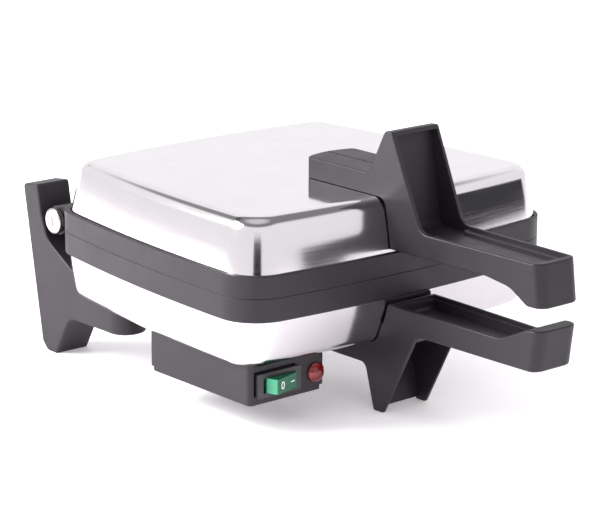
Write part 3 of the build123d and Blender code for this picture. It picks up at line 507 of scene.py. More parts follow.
class WAFFLE_PG_shell(bpy.types.PropertyGroup):
    """Steel shells."""

    thickness: bpy.props.FloatProperty(
        name="Sheet thickness", description="Thickness of the drawn steel", default=1.0 * MM, unit="LENGTH"
    )
    top_round: bpy.props.FloatProperty(
        name="Top rounding", description="Radius of the rounded top edge", default=9.0 * MM, unit="LENGTH"
    )
    side_roughness: bpy.props.FloatProperty(
        name="Side roughness", description="How far brushing blurs the sides", default=0.14, subtype="FACTOR"
    )
    top_roughness: bpy.props.FloatProperty(
        name="Top roughness", description="How far buffing haze blurs the top", default=0.07, subtype="FACTOR"
    )


class WAFFLE_PG_moulding(bpy.types.PropertyGroup):
    """Phenolic mouldings."""

    grain_depth: bpy.props.FloatProperty(
        name="Grain depth", description="Depth of the mould's fine texture", default=0.03 * MM, unit="LENGTH"
    )


class WAFFLE_PG_knob(bpy.types.PropertyGroup):
    """Knurled hinge knobs."""

    ridges: bpy.props.IntProperty(name="Ridges", description="Ridges round each knob", default=56, min=12)
    ridge_height: bpy.props.FloatProperty(
        name="Ridge height", description="How far a ridge stands out", default=0.3 * MM, unit="LENGTH"
    )


class WAFFLE_PG_stage(bpy.types.PropertyGroup):
    """Floor, lights and camera."""

    floor_colour: bpy.props.FloatVectorProperty(
        name="Floor colour", description="Colour of the paper", subtype="COLOR", default=linear("#FCFAFC")[:3]
    )
    key_power: bpy.props.FloatProperty(
        name="Key light", description="Power of the softbox at the left", default=43.0, unit="POWER"
    )
    fill_power: bpy.props.FloatProperty(
        name="Fill light", description="Power of the even light overhead", default=125.0, unit="POWER"
    )


GROUPS = {
    "waffle_shell": WAFFLE_PG_shell,
    "waffle_moulding": WAFFLE_PG_moulding,
    "waffle_knob": WAFFLE_PG_knob,
    "waffle_stage": WAFFLE_PG_stage,
}


# Steel shells

# Lengths are in mm, and heights are from the seam. Three insets are from the body's outline at
# the side, the front and the rear. Two radii are of the front corners and the rear corners.
FRONT_HALF_WIDTH = 118.8
REAR_HALF_WIDTH = 101.5
HALF_DEPTH = 101.0
SIDE_ARC = 1060.0
FRONT_ARC = 940.0
REAR_ARC = 710.0
CORNERS = (25.0, 24.0)
SEAT_Z = 11.9
FLANGE_INSET = 16.9
LID_SIZES = {"foot": (2.5, 2.1, 5.2), "insets": (7.9, 7.1, 14.4), "radii": (18.0, 13.0), "height": 43.2}
BASE_SIZES = {"foot": (2.2, 2.2, 2.2), "insets": (7.0, 12.6, 5.2), "radii": (16.0, 15.4), "height": 43.4}
LID_LIP_INSETS = (1.7, 1.7, 4.6)
BASE_LIP_INSETS = (1.7, 1.7, 1.7)
CAD_LIP_INSETS = (4.6, 4.6, 4.6)
CAD_LIP_HEIGHT = 13.9
LID_LIP_HEIGHT = 12.8
SIDE_STEPS = 40
CORNER_STEPS = 16
WALL_STEPS = 8
WALL_CROWN = 0.3
ROUND_STEPS = 10
TOP_INNER_SHARE = 0.02
SHELL_CRISP_ANGLE = math.radians(40)


def arc_centre(start, end, radius):
    """Centre of the circle of an arc that bulges to the right of start to end."""
    chord = end - start
    middle = (start + end) / 2
    left = Vector((-chord.y, chord.x)).normalized()
    return middle + left * math.sqrt(radius * radius - chord.length_squared / 4)


def corner_centre(first, first_radius, second, second_radius, near):
    """Centre of a round that touches two circles from inside, the one nearer to a point."""
    gap = second - first
    along = (first_radius**2 - second_radius**2 + gap.length_squared) / (2 * gap.length)
    across = math.sqrt(max(first_radius**2 - along**2, 0))
    base = first + gap.normalized() * along
    side = Vector((-gap.y, gap.x)).normalized() * across
    return min((base + side, base - side), key=lambda point: (point - near).length)


def arc_points(centre, start, end, steps):
    """Points from start to end round a centre, without the end, along the short way."""
    first = math.atan2(start.y - centre.y, start.x - centre.x)
    sweep = math.atan2(end.y - centre.y, end.x - centre.x) - first
    sweep = (sweep + math.pi) % (2 * math.pi) - math.pi
    radius = (start - centre).length
    angles = [first + sweep * step / steps for step in range(steps)]
    return [centre + Vector((math.cos(a), math.sin(a))) * radius for a in angles]


def body_outline(insets, radii):
    """The body's bowed outline moved inwards, counter-clockwise from the front left, in mm."""
    side, front, rear = insets
    taper = (FRONT_HALF_WIDTH - REAR_HALF_WIDTH) / (2 * HALF_DEPTH)
    front_x = FRONT_HALF_WIDTH - side - taper * front
    rear_x = REAR_HALF_WIDTH - side + taper * rear
    front_y = front - HALF_DEPTH
    rear_y = HALF_DEPTH - rear
    sharp = [(-front_x, front_y), (front_x, front_y), (rear_x, rear_y), (-rear_x, rear_y)]
    sharp = [Vector(corner) for corner in sharp]
    arcs = (FRONT_ARC, SIDE_ARC, REAR_ARC, SIDE_ARC)
    centres = [arc_centre(sharp[i], sharp[(i + 1) % 4], arcs[i]) for i in range(4)]
    rounds = []
    for i in range(4):
        radius = radii[0] if i < 2 else radii[1]
        before = (i - 1) % 4
        reaches = (arcs[before] - radius, arcs[i] - radius)
        middle = corner_centre(centres[before], reaches[0], centres[i], reaches[1], sharp[i])
        arrive = middle + (middle - centres[before]).normalized() * radius
        leave = middle + (middle - centres[i]).normalized() * radius
        rounds.append((middle, arrive, leave))
    points = []
    for i in range(4):
        middle, arrive, leave = rounds[i]
        points += arc_points(middle, arrive, leave, CORNER_STEPS)
        points += arc_points(centres[i], leave, rounds[(i + 1) % 4][1], SIDE_STEPS)
    return points


def shell_section(foot, top, radius):
    """Points up the wall and over the rounded top edge, for one place of the outline, in mm."""
    down = (foot - top).normalized()
    inward = Vector((top.x - foot.x, top.y - foot.y, 0)).normalized()
    angle = down.angle(inward)
    reach = radius / math.tan(angle / 2)
    low, high = top + down * reach, top + inward * reach
    centre = top + (down + inward).normalized() * radius / math.sin(angle / 2)
    outward = -(inward - down * inward.dot(down)).normalized()
    points = []
    for step in range(WALL_STEPS):
        share = step / WALL_STEPS
        points.append(foot.lerp(low, share) + outward * 4 * WALL_CROWN * share * (1 - share))
    for step in range(ROUND_STEPS + 1):
        ray = (low - centre).normalized().slerp((high - centre).normalized(), step / ROUND_STEPS)
        points.append(centre + ray * radius)
    return points


def near_outline(insets):
    """The body's outline moved a little inwards, with corners rounded round the same middles."""
    side, _, rear = insets
    return body_outline(insets, (CORNERS[0] - side, CORNERS[1] - (side + rear) / 2))


def shell_mesh(name, sizes, settings, material, sign):
    """One drawn shell: inturned flange, drafted wall, rounded edge and flat top."""
    tops = body_outline(sizes["insets"], sizes["radii"])
    rings = []
    for lip, foot, top in zip(near_outline((FLANGE_INSET,) * 3), near_outline(sizes["foot"]), tops):
        foot = foot.to_3d() + Vector((0, 0, SEAT_Z))
        top = top.to_3d() + Vector((0, 0, sizes["height"]))
        rise = shell_section(foot, top, settings.top_round / MM)
        inner = rise[-1].lerp(Vector((0, 0, top.z)), TOP_INNER_SHARE)
        rings.append([lip.to_3d() + Vector((0, 0, foot.z)), *rise, inner])
    count, depth = len(rings), len(rings[0])
    vertices = []
    for ring in rings:
        for point in ring:
            vertices.append((point.x * MM, point.y * MM + SEAM_Y, sign * point.z * MM + SEAM_Z))
    faces = []
    for i in range(count):
        following = (i + 1) % count
        for j in range(depth - 1):
            face = (i * depth + j, following * depth + j, following * depth + j + 1, i * depth + j + 1)
            faces.append(face if sign > 0 else face[::-1])
    crown = [i * depth + depth - 1 for i in range(count)]
    faces.append(crown if sign > 0 else crown[::-1])
    piece = mesh_object(name, vertices, faces, material)
    smooth_faces(piece.data, SHELL_CRISP_ANGLE)
    wall = piece.modifiers.new("sheet", "SOLIDIFY")
    wall.thickness = settings.thickness
    wall.offset = -1.0
    return as_plain_mesh(piece)


class WAFFLE_OT_shells(bpy.types.Operator):
    """Builds the lid's and the base's drawn steel shells"""

    bl_idname = "waffle.shells"
    bl_label = "Steel shells"

    def execute(self, context):
        settings = context.scene.waffle_shell
        steel = polished_stainless(settings)
        lid = shell_mesh("lid_shell", LID_SIZES, settings, steel, 1)
        seat(lid, "lid", "polished_steel", "upper_shell")
        base = shell_mesh("base_shell", BASE_SIZES, settings, steel, -1)
        seat(base, "base", "polished_steel", "lower_shell")
        return {"FINISHED"}


# Mouldings

# Lengths are in mm from the seam's middle. A pair with NOTCH in its name is (y, z), except for
# the ledge's two ends along Y and the shifts, which are at the shell's seat and at its top.
HANDLE_ROOT_Y = -106.0
HANDLE_TIP_Y = -222.0
HANDLE_ROOT_GROWTH = 1.06
HANDLE_TIP_GROWTH = 1.15
HANDLE_TIP_LEAN = 0.14
TIP_LEAN_START = 30.0
TIP_LEAN_HEIGHT = 5.0
NOTCH_FOOT = (-102.3, 14.4)
NOTCH_ROUND_START = (-97.65, 38.7)
NOTCH_TOP = (-91.0, 43.5)
NOTCH_TOLERANCE = 0.4
NOTCH_END_MARGIN = 0.1
NOTCH_ROUND_MARGINS = (0.8, 0.7)
NOTCH_LEDGE = (-106.0, -105.5)
NOTCH_LEDGE_HEIGHT = 1.1
NOTCH_LEDGE_SHIFT = -1.4
LID_NOTCH_SHIFTS = (-4.2, -4.3)
BASE_NOTCH_SHIFTS = (-4.0, 1.0)
LIP_TOLERANCE = 0.6
SEAT_TOLERANCE = 0.05
BEZEL_THICKNESS = 2.0
GROOVE_WIDTH = 1.5
GROOVE_DEPTH = 2.1
GROOVE_LAP = 0.4
GROOVE_PROUD = 1.0
MOULDINGS = ("rear_bracket_left", "rear_bracket_right", "control_box_cover")


def reshape(piece, move):
    """Moves the points of a piece by a rule that works in mm from the seam's middle."""
    for vertex in piece.data.vertices:
        place = Vector((vertex.co.x, vertex.co.y - SEAM_Y, vertex.co.z - SEAM_Z)) / MM
        place = move(place) * MM
        vertex.co = (place.x, place.y + SEAM_Y, place.z + SEAM_Z)


def thin_lip(insets, lip_height):
    """A rule that thins a rim's lip round the shell and sets its height."""
    wall = near_outline(CAD_LIP_INSETS)
    outward = [thin - thick for thin, thick in zip(near_outline(insets), wall)]
    lowering = (lip_height - SEAT_Z) / (CAD_LIP_HEIGHT - SEAT_Z)

    def move(place):
        above = abs(place.z) - SEAT_Z
        if above < -SEAT_TOLERANCE:
            return place
        nearest = min(range(len(wall)), key=lambda i: (wall[i] - place.xy).length_squared)
        if (wall[nearest] - place.xy).length < LIP_TOLERANCE:
            place.xy += outward[nearest]
        if above > SEAT_TOLERANCE:
            place.z = math.copysign(SEAT_Z + above * lowering, place.z)
        return place

    return move


def notch_shift(place, shifts):
    """How far a handle's point moves along Y, so that its notch clears the shell by a dark gap."""
    height = abs(place.z)
    foot_y, foot_z = NOTCH_FOOT
    round_y, round_z = NOTCH_ROUND_START
    top_y, top_z = NOTCH_TOP
    before, below = NOTCH_ROUND_MARGINS
    wall = foot_y + (height - foot_z) / (round_z - foot_z) * (round_y - foot_y)
    above_foot = foot_z - NOTCH_END_MARGIN < height
    on_wall = above_foot and height < round_z and abs(place.y - wall) < NOTCH_TOLERANCE
    by_round = round_z - below < height < top_z + NOTCH_END_MARGIN
    if on_wall or (by_round and round_y - before < place.y < top_y):
        return shifts[0] + (height - SEAT_Z) / (top_z - SEAT_Z) * (shifts[1] - shifts[0])
    by_ledge = above_foot and height < foot_z + NOTCH_LEDGE_HEIGHT
    return NOTCH_LEDGE_SHIFT if by_ledge and NOTCH_LEDGE[0] < place.y < NOTCH_LEDGE[1] else 0.0


def fuller_handle(shifts):
    """A rule that widens a handle towards its tip, leans the tip's end back and shifts its notch."""

    def move(place):
        share = min(max((HANDLE_ROOT_Y - place.y) / (HANDLE_ROOT_Y - HANDLE_TIP_Y), 0), 1)
        place.x *= HANDLE_ROOT_GROWTH + share * (HANDLE_TIP_GROWTH - HANDLE_ROOT_GROWTH)
        tip_share = min(max((HANDLE_TIP_Y + TIP_LEAN_START - place.y) / TIP_LEAN_START, 0), 1)
        lean = HANDLE_TIP_LEAN * max(abs(place.z) - TIP_LEAN_HEIGHT, 0)
        place.y += tip_share * lean + notch_shift(place, shifts)
        return place

    return move


def bezel_groove(material):
    """Cutter for the dark gap that the switch's cut-out leaves left of and over its bezel."""
    low, high = (Vector(corner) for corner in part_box("switch_body"))
    wide, lap = GROOVE_WIDTH * MM, GROOVE_LAP * MM
    front = low.y + BEZEL_THICKNESS * MM
    outline = (
        (low.x - wide, low.z + wide),
        (low.x + lap, low.z + wide),
        (low.x + lap, high.z - lap),
        (high.x - 2 * wide, high.z - lap),
        (high.x - 2 * wide, high.z + wide),
        (low.x - wide, high.z + wide),
    )
    count = len(outline)
    ends = (front - GROOVE_PROUD * MM, front + GROOVE_DEPTH * MM)
    places = [(x, y, z) for y in ends for x, z in outline]
    faces = [tuple(range(count)), tuple(range(2 * count - 1, count - 1, -1))]
    faces += [(i, i + count, (i + 1) % count + count, (i + 1) % count) for i in range(count)]
    return mesh_object("bezel_groove", places, faces, material)


class WAFFLE_OT_mouldings(bpy.types.Operator):
    """Dresses the phenolic rims, handles, brackets and control box"""

    bl_idname = "waffle.mouldings"
    bl_label = "Phenolic mouldings"

    def execute(self, context):
        phenolic = moulded_phenolic(context.scene.waffle_moulding)
        for node in MOULDINGS:
            piece = finished_copy(node, f"moulded_{node}", phenolic)
            seat(as_plain_mesh(piece), body_of_node(node), "phenolic", node)
        reshaped = {
            "upper_rim": thin_lip(LID_LIP_INSETS, LID_LIP_HEIGHT),
            "lower_rim": thin_lip(BASE_LIP_INSETS, CAD_LIP_HEIGHT),
            "upper_handle": fuller_handle(LID_NOTCH_SHIFTS),
            "lower_handle": fuller_handle(BASE_NOTCH_SHIFTS),
        }
        for node, rule in reshaped.items():
            piece = finished_copy(node, f"moulded_{node}", phenolic)
            reshape(piece, rule)
            seat(as_plain_mesh(piece), body_of_node(node), "phenolic", node)
        housing = finished_copy("control_box", "moulded_control_box", phenolic)
        cutter = bezel_groove(phenolic)
        cut = housing.modifiers.new("bezel_groove", "BOOLEAN")
        cut.operation = "DIFFERENCE"
        cut.solver = "EXACT"
        cut.object = cutter
        seat(as_plain_mesh(housing), "base", "phenolic", "control_box")
        bpy.data.objects.remove(cutter)
        return {"FINISHED"}


# Baking plates and what lies behind them


class WAFFLE_OT_plates(bpy.types.Operator):
    """Dresses the two baking plates and the heating parts behind them"""

    bl_idname = "waffle.plates"
    bl_label = "Plates and heating"

    def execute(self, context):
        coating = non_stick_casting()
        tube = bare_sheet("heat_tinted_sheath", "#4A4038", "#6B5F55", 0.42)
        sheet = bare_sheet("aluminised_steel", "#A7AAAC", "#C4C6C8", 0.35)
        ceramic = fired_steatite()
        for half in ("upper", "lower"):
            node = f"{half}_baking_plate"
            plate = finished_copy(node, f"{half}_plate_casting", coating)
            seat(as_plain_mesh(plate), body_of_node(node), "coated_aluminium", node)
            paint(f"{half}_heater", tube)
            paint(f"{half}_heater_clamps", sheet)
            paint(f"{half}_reflector", sheet)
        for node in ("thermostat", "terminal_block", "lead_bushing"):
            paint(node, ceramic)
        return {"FINISHED"}


# Screws and hinge knobs

# For each set of screws: its piece's name, whether the heads face up, and the recess's span,
# slot width and depth in mm
RECESSES = {
    "upper_plate_screws": ("lid_plate_screws", False, (4.4, 0.9, 1.3)),
    "lower_plate_screws": ("base_plate_screws", True, (4.4, 0.9, 1.3)),
    "control_box_screws": ("cover_screws", False, (3.2, 0.7, 0.9)),
}
KNOB_MIDDLE_X = 93.0
KNOB_RADIUS = 7.5
KNURL_LENGTH = 2.9
RIDGE_SIDES = 4


def recess_tree():
    """Sinks a crossed driver recess into every screw head, at points on the heads."""
    sizes = {"Screws": "NodeSocketObject", "Span": "NodeSocketFloat", "Slot": "NodeSocketFloat"}
    sizes |= {"Depth": "NodeSocketFloat", "Material": "NodeSocketMaterial"}
    tree, given = new_shape_tree("crossed_recess", sizes)
    twice = {0: given["Depth"], 1: 2.0}
    height = add_node(tree, "ShaderNodeMath", twice, operation="MULTIPLY").outputs[0]
    bars = []
    for x, y in (("Span", "Slot"), ("Slot", "Span")):
        sides = {"X": given[x], "Y": given[y], "Z": height}
        size = add_node(tree, "ShaderNodeCombineXYZ", sides).outputs[0]
        bars.append(add_node(tree, "GeometryNodeMeshCube", {"Size": size}).outputs[0])
    cross = add_node(tree, "GeometryNodeMeshBoolean", operation="UNION")
    for bar in bars:
        tree.links.new(bar, cross.inputs[1])
    heads = {"Points": given["Geometry"], "Instance": cross.outputs[0]}
    crosses = add_node(tree, "GeometryNodeInstanceOnPoints", heads).outputs[0]
    cutters = add_node(tree, "GeometryNodeRealizeInstances", {"Geometry": crosses}).outputs[0]
    screws = add_node(tree, "GeometryNodeObjectInfo", {"Object": given["Screws"]}).outputs["Geometry"]
    cut = add_node(tree, "GeometryNodeMeshBoolean", {0: screws}, operation="DIFFERENCE")
    tree.links.new(cutters, cut.inputs[1])
    end_tree(tree, cut.outputs[0], given["Material"])
    return tree


def recessed_screws(node, name, material, tree, up, sizes):
    """A set of screws whose heads, facing up or down, have crossed recesses."""
    plain = as_plain_mesh(finished_copy(node, f"{name}_blank", material))
    points = mesh_object(name, loose_part_tops(plain.data, up), [], material)
    span, slot, depth = (size * MM for size in sizes)
    values = {"Screws": plain, "Span": span, "Slot": slot, "Depth": depth, "Material": material}
    piece = run_tree(points, tree, values)
    bpy.data.objects.remove(plain)
    smooth_faces(piece.data, CRISP_ANGLE)
    return seat(piece, body_of_node(node), "plated_steel", node)


class WAFFLE_OT_screws(bpy.types.Operator):
    """Dresses the screws, nuts and bushes, with driver recesses in the heads that show"""

    bl_idname = "waffle.screws"
    bl_label = "Screws and nuts"

    def execute(self, context):
        zinc = zinc_plate()
        tree = recess_tree()
        for node, (name, up, sizes) in RECESSES.items():
            recessed_screws(node, name, zinc, tree, up, sizes)
        for node in frame["nodes"]:
            if node.endswith(("_screws", "_nuts")) and node not in (*RECESSES, "hinge_screws"):
                paint(node, zinc)
        paint("hinge_bushes", zinc)
        return {"FINISHED"}


def knurl_tree():
    """A ring of straight ridges round an X axis at every point."""
    sizes = {"Ridges": "NodeSocketInt", "Radius": "NodeSocketFloat", "Length": "NodeSocketFloat"}
    sizes |= {"Ridge height": "NodeSocketFloat", "Material": "NodeSocketMaterial"}
    tree, given = new_shape_tree("straight_knurl", sizes)
    round_sizes = {"Vertices": given["Ridges"], "Radius": given["Radius"]}
    circle = add_node(tree, "GeometryNodeMeshCircle", round_sizes)
    ridge_sizes = {"Vertices": RIDGE_SIDES, "Radius": given["Ridge height"], "Depth": given["Length"]}
    ridge = add_node(tree, "GeometryNodeMeshCylinder", ridge_sizes)
    full_turn = {0: 2 * math.pi, 1: given["Ridges"]}
    step = add_node(tree, "ShaderNodeMath", full_turn, operation="DIVIDE").outputs[0]
    index = add_node(tree, "GeometryNodeInputIndex").outputs[0]
    angle = add_node(tree, "ShaderNodeMath", {0: index, 1: step}, operation="MULTIPLY").outputs[0]
    turn = add_node(tree, "ShaderNodeCombineXYZ", {"Z": angle}).outputs[0]
    ridges = {"Points": circle.outputs[0], "Instance": ridge.outputs[0], "Rotation": turn}
    ring = add_node(tree, "GeometryNodeInstanceOnPoints", ridges).outputs[0]
    real = add_node(tree, "GeometryNodeRealizeInstances", {"Geometry": ring}).outputs[0]
    sideways = {"Geometry": real, "Rotation": (0, math.pi / 2, 0)}
    upright = add_node(tree, "GeometryNodeTransform", sideways).outputs[0]
    places = {"Points": given["Geometry"], "Instance": upright}
    rings = add_node(tree, "GeometryNodeInstanceOnPoints", places).outputs[0]
    end_tree(tree, rings, given["Material"])
    return tree


class WAFFLE_OT_knobs(bpy.types.Operator):
    """Dresses the two hinge knobs and knurls their edges"""

    bl_idname = "waffle.knobs"
    bl_label = "Hinge knobs"

    def execute(self, context):
        settings = context.scene.waffle_knob
        nickel = nickel_plate()
        piece = finished_copy("hinge_screws", "hinge_knobs", nickel)
        seat(as_plain_mesh(piece), "base", "nickel_plate", "hinge_screws")
        middles = [(side * KNOB_MIDDLE_X * MM, HINGE.y, HINGE.z) for side in (-1, 1)]
        values = {
            "Ridges": settings.ridges,
            "Radius": KNOB_RADIUS * MM,
            "Length": KNURL_LENGTH * MM,
            "Ridge height": settings.ridge_height,
            "Material": nickel,
        }
        knurls = run_tree(mesh_object("knob_knurls", middles, [], nickel), knurl_tree(), values)
        seat(knurls, "base", "nickel_plate")
        return {"FINISHED"}


# Switch and lamp

# Lengths are in mm from the rocker's pivot. A mark's place is along the face, and its size is
# across and up.
ROCKER_TILT = math.radians(15.0)
ROCKER_FACE = 8.5
MARK_DEPTH = 0.06
MARK_STROKE = 0.65
RING_PLACE = -4.4
RING_SIZE = (3.1, 4.6)
RING_STEPS = 40
BAR_PLACE = 5.2
BAR_SIZE = (4.2, 0.65)
BAR_STEPS = 24
BAR_CORE_SHARE = 0.02


def on_rocker(x, z, depth):
    """A place on the tipped rocker's face, so far from its middle and above it, in metres."""
    y = -(ROCKER_FACE + depth)
    turned_x = x * math.cos(ROCKER_TILT) - y * math.sin(ROCKER_TILT)
    turned_y = x * math.sin(ROCKER_TILT) + y * math.cos(ROCKER_TILT)
    return ROCKER_PIVOT + Vector((turned_x, turned_y, z)) * MM


def mark_mesh(name, loops, material):
    """A closed flat band between two equal loops of (x, z) places, standing on the rocker's face."""
    count = len(loops[0])
    depths = (-MARK_DEPTH, MARK_DEPTH)
    places = [on_rocker(x, z, depth) for depth in depths for loop in loops for x, z in loop]
    faces = []
    for i in range(count):
        j = (i + 1) % count
        faces.append((2 * count + i, 2 * count + j, 3 * count + j, 3 * count + i))
        faces.append((i, count + i, count + j, j))
        faces.append((i, j, 2 * count + j, 2 * count + i))
        faces.append((count + i, 3 * count + i, 3 * count + j, count + j))
    piece = mesh_object(name, places, faces, material)
    work = bmesh.new()
    work.from_mesh(piece.data)
    bmesh.ops.remove_doubles(work, verts=work.verts, dist=MERGE_DISTANCE)
    bmesh.ops.recalc_face_normals(work, faces=work.faces)
    work.to_mesh(piece.data)
    work.free()
    return piece


def ellipse(middle, width, height, steps):
    """Places round an ellipse on the rocker's face."""
    angles = [2 * math.pi * step / steps for step in range(steps)]
    return [(middle + width / 2 * math.cos(a), height / 2 * math.sin(a)) for a in angles]


class WAFFLE_OT_switch(bpy.types.Operator):
    """Dresses the rocker switch and prints its off and on marks"""

    bl_idname = "waffle.switch"
    bl_label = "Rocker switch"

    def execute(self, context):
        nylon = black_nylon()
        body = finished_copy("switch_body", "switch_frame", nylon)
        seat(as_plain_mesh(body), "base", "black_nylon", "switch_body")
        key = finished_copy("rocker", "rocker_key", rocker_polycarbonate())
        seat(as_plain_mesh(key), "rocker", "green_rocker", "rocker")
        ink = printed_white()
        width, height = RING_SIZE
        outer = ellipse(RING_PLACE, width, height, RING_STEPS)
        inner = ellipse(RING_PLACE, width - 2 * MARK_STROKE, height - 2 * MARK_STROKE, RING_STEPS)
        seat(mark_mesh("off_mark", (outer, inner), ink), "rocker", "green_rocker")
        outer = ellipse(BAR_PLACE, *BAR_SIZE, BAR_STEPS)
        core = [size * BAR_CORE_SHARE for size in BAR_SIZE]
        inner = ellipse(BAR_PLACE, *core, BAR_STEPS)
        seat(mark_mesh("on_mark", (outer, inner), ink), "rocker", "green_rocker")
        return {"FINISHED"}


class WAFFLE_OT_lamp(bpy.types.Operator):
    """Dresses the pilot lamp and the cord bush"""

    bl_idname = "waffle.lamp"
    bl_label = "Pilot lamp"

    def execute(self, context):
        lens = finished_copy("lamp_lens", "lamp_cap", lamp_polycarbonate())
        seat(as_plain_mesh(lens), "base", "red_lens", "lamp_lens")
        paint("lamp_holder", black_nylon())
        paint("cord_gland", bush_rubber())
        return {"FINISHED"}


# Stage

# Lengths are in metres, but for the camera's lens and sensor in mm, and the patch's angles are in
# degrees. A flag is its two ends seen from above, then the heights of its foot and its top.
CAMERA_PLACE = Vector((-0.9432, -1.06059, 0.4599))
CAMERA_AZIMUTH = math.radians(-40.811)
CAMERA_ELEVATION = math.radians(15.31)
CAMERA_ROLL = math.radians(0.351)
CAMERA_LENS = 149.34
SENSOR_WIDTH = 36.0
CAMERA_CLIP = 20.0
FLOOR_HALF = 3.0
SOFTBOX = {"place": (-1.15, 0.75, 0.95), "aim": (0, 0, 0.1), "size": (1.0, 0.9)}
FILL = {"place": (0, 0.5, 3.0), "aim": (0, 0.5, 0), "size": (7.0, 7.0)}
ROOM_COLOUR = "#FFFDFF"
ROOM_BRIGHTNESS = 1.1
REAR_PATCH = {"direction": (-0.05, 0.73, 0.69), "wide": 15, "narrow": 8, "level": 0.3}
BAND_START = {"From Min": 0.64, "From Max": 0.74, "To Min": 1.0, "To Max": 0.25}
BAND_END = {"From Min": 0.82, "From Max": 0.97, "To Min": 0.0, "To Max": 0.7}
RIGHT_FLAG = ((0.41, -0.55), (1.20, -0.55), 0.05, 0.25)
CAMERA_FLAG = ((-0.50, -0.40), (-0.34, -0.54), 0.0, 0.22)


def photo_camera():
    """Camera at the photograph's place and angle."""
    a, e, r = CAMERA_AZIMUTH, CAMERA_ELEVATION, CAMERA_ROLL
    right = Vector((math.cos(a), math.sin(a), 0))
    back = Vector((math.sin(a) * math.cos(e), -math.cos(a) * math.cos(e), math.sin(e)))
    up = back.cross(right)
    x_axis = right * math.cos(r) + up * math.sin(r)
    y_axis = up * math.cos(r) - right * math.sin(r)
    data = bpy.data.cameras.new("photo_camera")
    data.lens = CAMERA_LENS
    data.sensor_width = SENSOR_WIDTH
    data.sensor_fit = "HORIZONTAL"
    data.clip_end = CAMERA_CLIP
    camera = bpy.data.objects.new("photo_camera", data)
    turn = Matrix((x_axis, y_axis, back)).transposed().to_4x4()
    camera.matrix_world = Matrix.Translation(CAMERA_PLACE) @ turn
    bpy.context.scene.collection.objects.link(camera)
    bpy.context.scene.camera = camera


def softbox(name, place, aim, size, power):
    """A soft rectangular light that looks at a point."""
    data = bpy.data.lights.new(name, "AREA")
    data.shape = "RECTANGLE"
    data.size, data.size_y = size
    data.energy = power
    light = bpy.data.objects.new(name, data)
    direction = Vector(aim) - Vector(place)
    light.rotation_mode = "QUATERNION"
    light.rotation_quaternion = direction.to_track_quat("-Z", "Y")
    light.location = place
    bpy.context.scene.collection.objects.link(light)
    return light


def dark_patch(tree, ray, direction, wide, narrow, level):
    """Brightness that drops to a level round a direction, from a wide angle to a narrow one."""
    ways = {0: ray, 1: Vector(direction).normalized()}
    nearness = add_node(tree, "ShaderNodeVectorMath", ways, operation="DOT_PRODUCT").outputs["Value"]
    start, end = (math.cos(math.radians(angle)) for angle in (wide, narrow))
    limits = {"Value": nearness, "From Min": start, "From Max": end, "To Min": 1.0, "To Max": level}
    return add_node(tree, "ShaderNodeMapRange", limits, interpolation_type="SMOOTHSTEP").outputs[0]


def studio_world():
    """A pale room for the steel to mirror, dark high at the rear and in a band overhead."""
    world = bpy.data.worlds.new("pale_studio")
    bpy.context.scene.world = world
    world.use_nodes = True
    tree = world.node_tree
    tree.nodes.clear()
    ray = add_node(tree, "ShaderNodeTexCoord").outputs["Generated"]
    rear = dark_patch(tree, ray, **REAR_PATCH)
    height = add_node(tree, "ShaderNodeSeparateXYZ", {"Vector": ray}).outputs["Z"]
    low_edge = add_node(tree, "ShaderNodeMapRange", {"Value": height, **BAND_START}).outputs[0]
    high_edge = add_node(tree, "ShaderNodeMapRange", {"Value": height, **BAND_END}).outputs[0]
    edges = {0: low_edge, 1: high_edge}
    ceiling = add_node(tree, "ShaderNodeMath", edges, operation="MAXIMUM").outputs[0]
    shades = {0: rear, 1: ceiling}
    shaded = add_node(tree, "ShaderNodeMath", shades, operation="MULTIPLY").outputs[0]
    scaled = {0: shaded, 1: ROOM_BRIGHTNESS}
    level = add_node(tree, "ShaderNodeMath", scaled, operation="MULTIPLY").outputs[0]
    glow = {"Color": linear(ROOM_COLOUR), "Strength": level}
    background = add_node(tree, "ShaderNodeBackground", glow)
    add_node(tree, "ShaderNodeOutputWorld", {"Surface": background.outputs[0]})


def steel_flag(name, start, end, low, high, felt):
    """A dark card, upright from start to end, that is seen only in reflections."""
    places = [(*start, low), (*end, low), (*end, high), (*start, high)]
    flag = mesh_object(name, places, [(0, 1, 2, 3)], felt)
    flag.visible_camera = False
    flag.visible_shadow = False
    flag.visible_diffuse = False


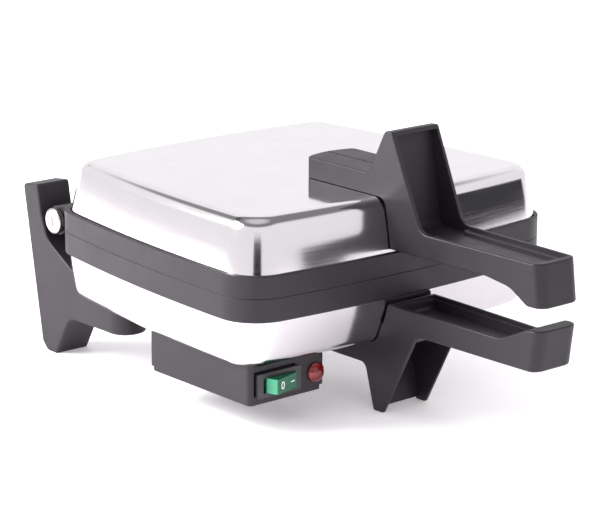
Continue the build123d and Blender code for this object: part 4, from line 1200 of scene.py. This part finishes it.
class WAFFLE_OT_stage(bpy.types.Operator):
    """Builds the pale floor, the studio light and the camera"""

    bl_idname = "waffle.stage"
    bl_label = "Studio"

    def execute(self, context):
        settings = context.scene.waffle_stage
        half = FLOOR_HALF
        corners = [(-half, -half, 0), (half, -half, 0), (half, half, 0), (-half, half, 0)]
        floor = mesh_object("studio_floor", corners, [(0, 1, 2, 3)], studio_paper(settings.floor_colour))
        softbox("left_softbox", power=settings.key_power, **SOFTBOX)
        fill = softbox("ceiling_fill", power=settings.fill_power, **FILL)
        fill.visible_glossy = False
        felt = dark_felt()
        steel_flag("right_flag", *RIGHT_FLAG, felt)
        steel_flag("camera_flag", *CAMERA_FLAG, felt)
        studio_world()
        photo_camera()
        context.scene.view_settings.view_transform = "Standard"
        return {"FINISHED"}


# Panel and registration

OPERATORS = (
    WAFFLE_OT_shells,
    WAFFLE_OT_mouldings,
    WAFFLE_OT_plates,
    WAFFLE_OT_screws,
    WAFFLE_OT_knobs,
    WAFFLE_OT_switch,
    WAFFLE_OT_lamp,
    WAFFLE_OT_stage,
)


class WAFFLE_PT_panel(bpy.types.Panel):
    """Lists the waffle maker's pieces"""

    bl_label = "Waffle maker"
    bl_idname = "WAFFLE_PT_panel"
    bl_space_type = "VIEW_3D"
    bl_region_type = "UI"
    bl_category = "Waffle maker"

    def draw(self, context):
        for operator in OPERATORS:
            self.layout.operator(operator.bl_idname)
        for name in GROUPS:
            box = self.layout.box()
            settings = getattr(context.scene, name)
            for field in settings.__annotations__:
                box.prop(settings, field)


def register():
    """Registers the add-on's classes and scene settings."""
    for name, group in GROUPS.items():
        bpy.utils.register_class(group)
        setattr(bpy.types.Scene, name, bpy.props.PointerProperty(type=group))
    for operator in OPERATORS:
        bpy.utils.register_class(operator)
    bpy.utils.register_class(WAFFLE_PT_panel)


def unregister():
    """Removes what register added."""
    bpy.utils.unregister_class(WAFFLE_PT_panel)
    for operator in reversed(OPERATORS):
        bpy.utils.unregister_class(operator)
    for name, group in GROUPS.items():
        delattr(bpy.types.Scene, name)
        bpy.utils.unregister_class(group)


def main():
    """Builds the whole model."""
    register()
    for operator in OPERATORS:
        group, action = operator.bl_idname.split(".")
        getattr(getattr(bpy.ops, group), action)()


if __name__ == "__main__":
    main()
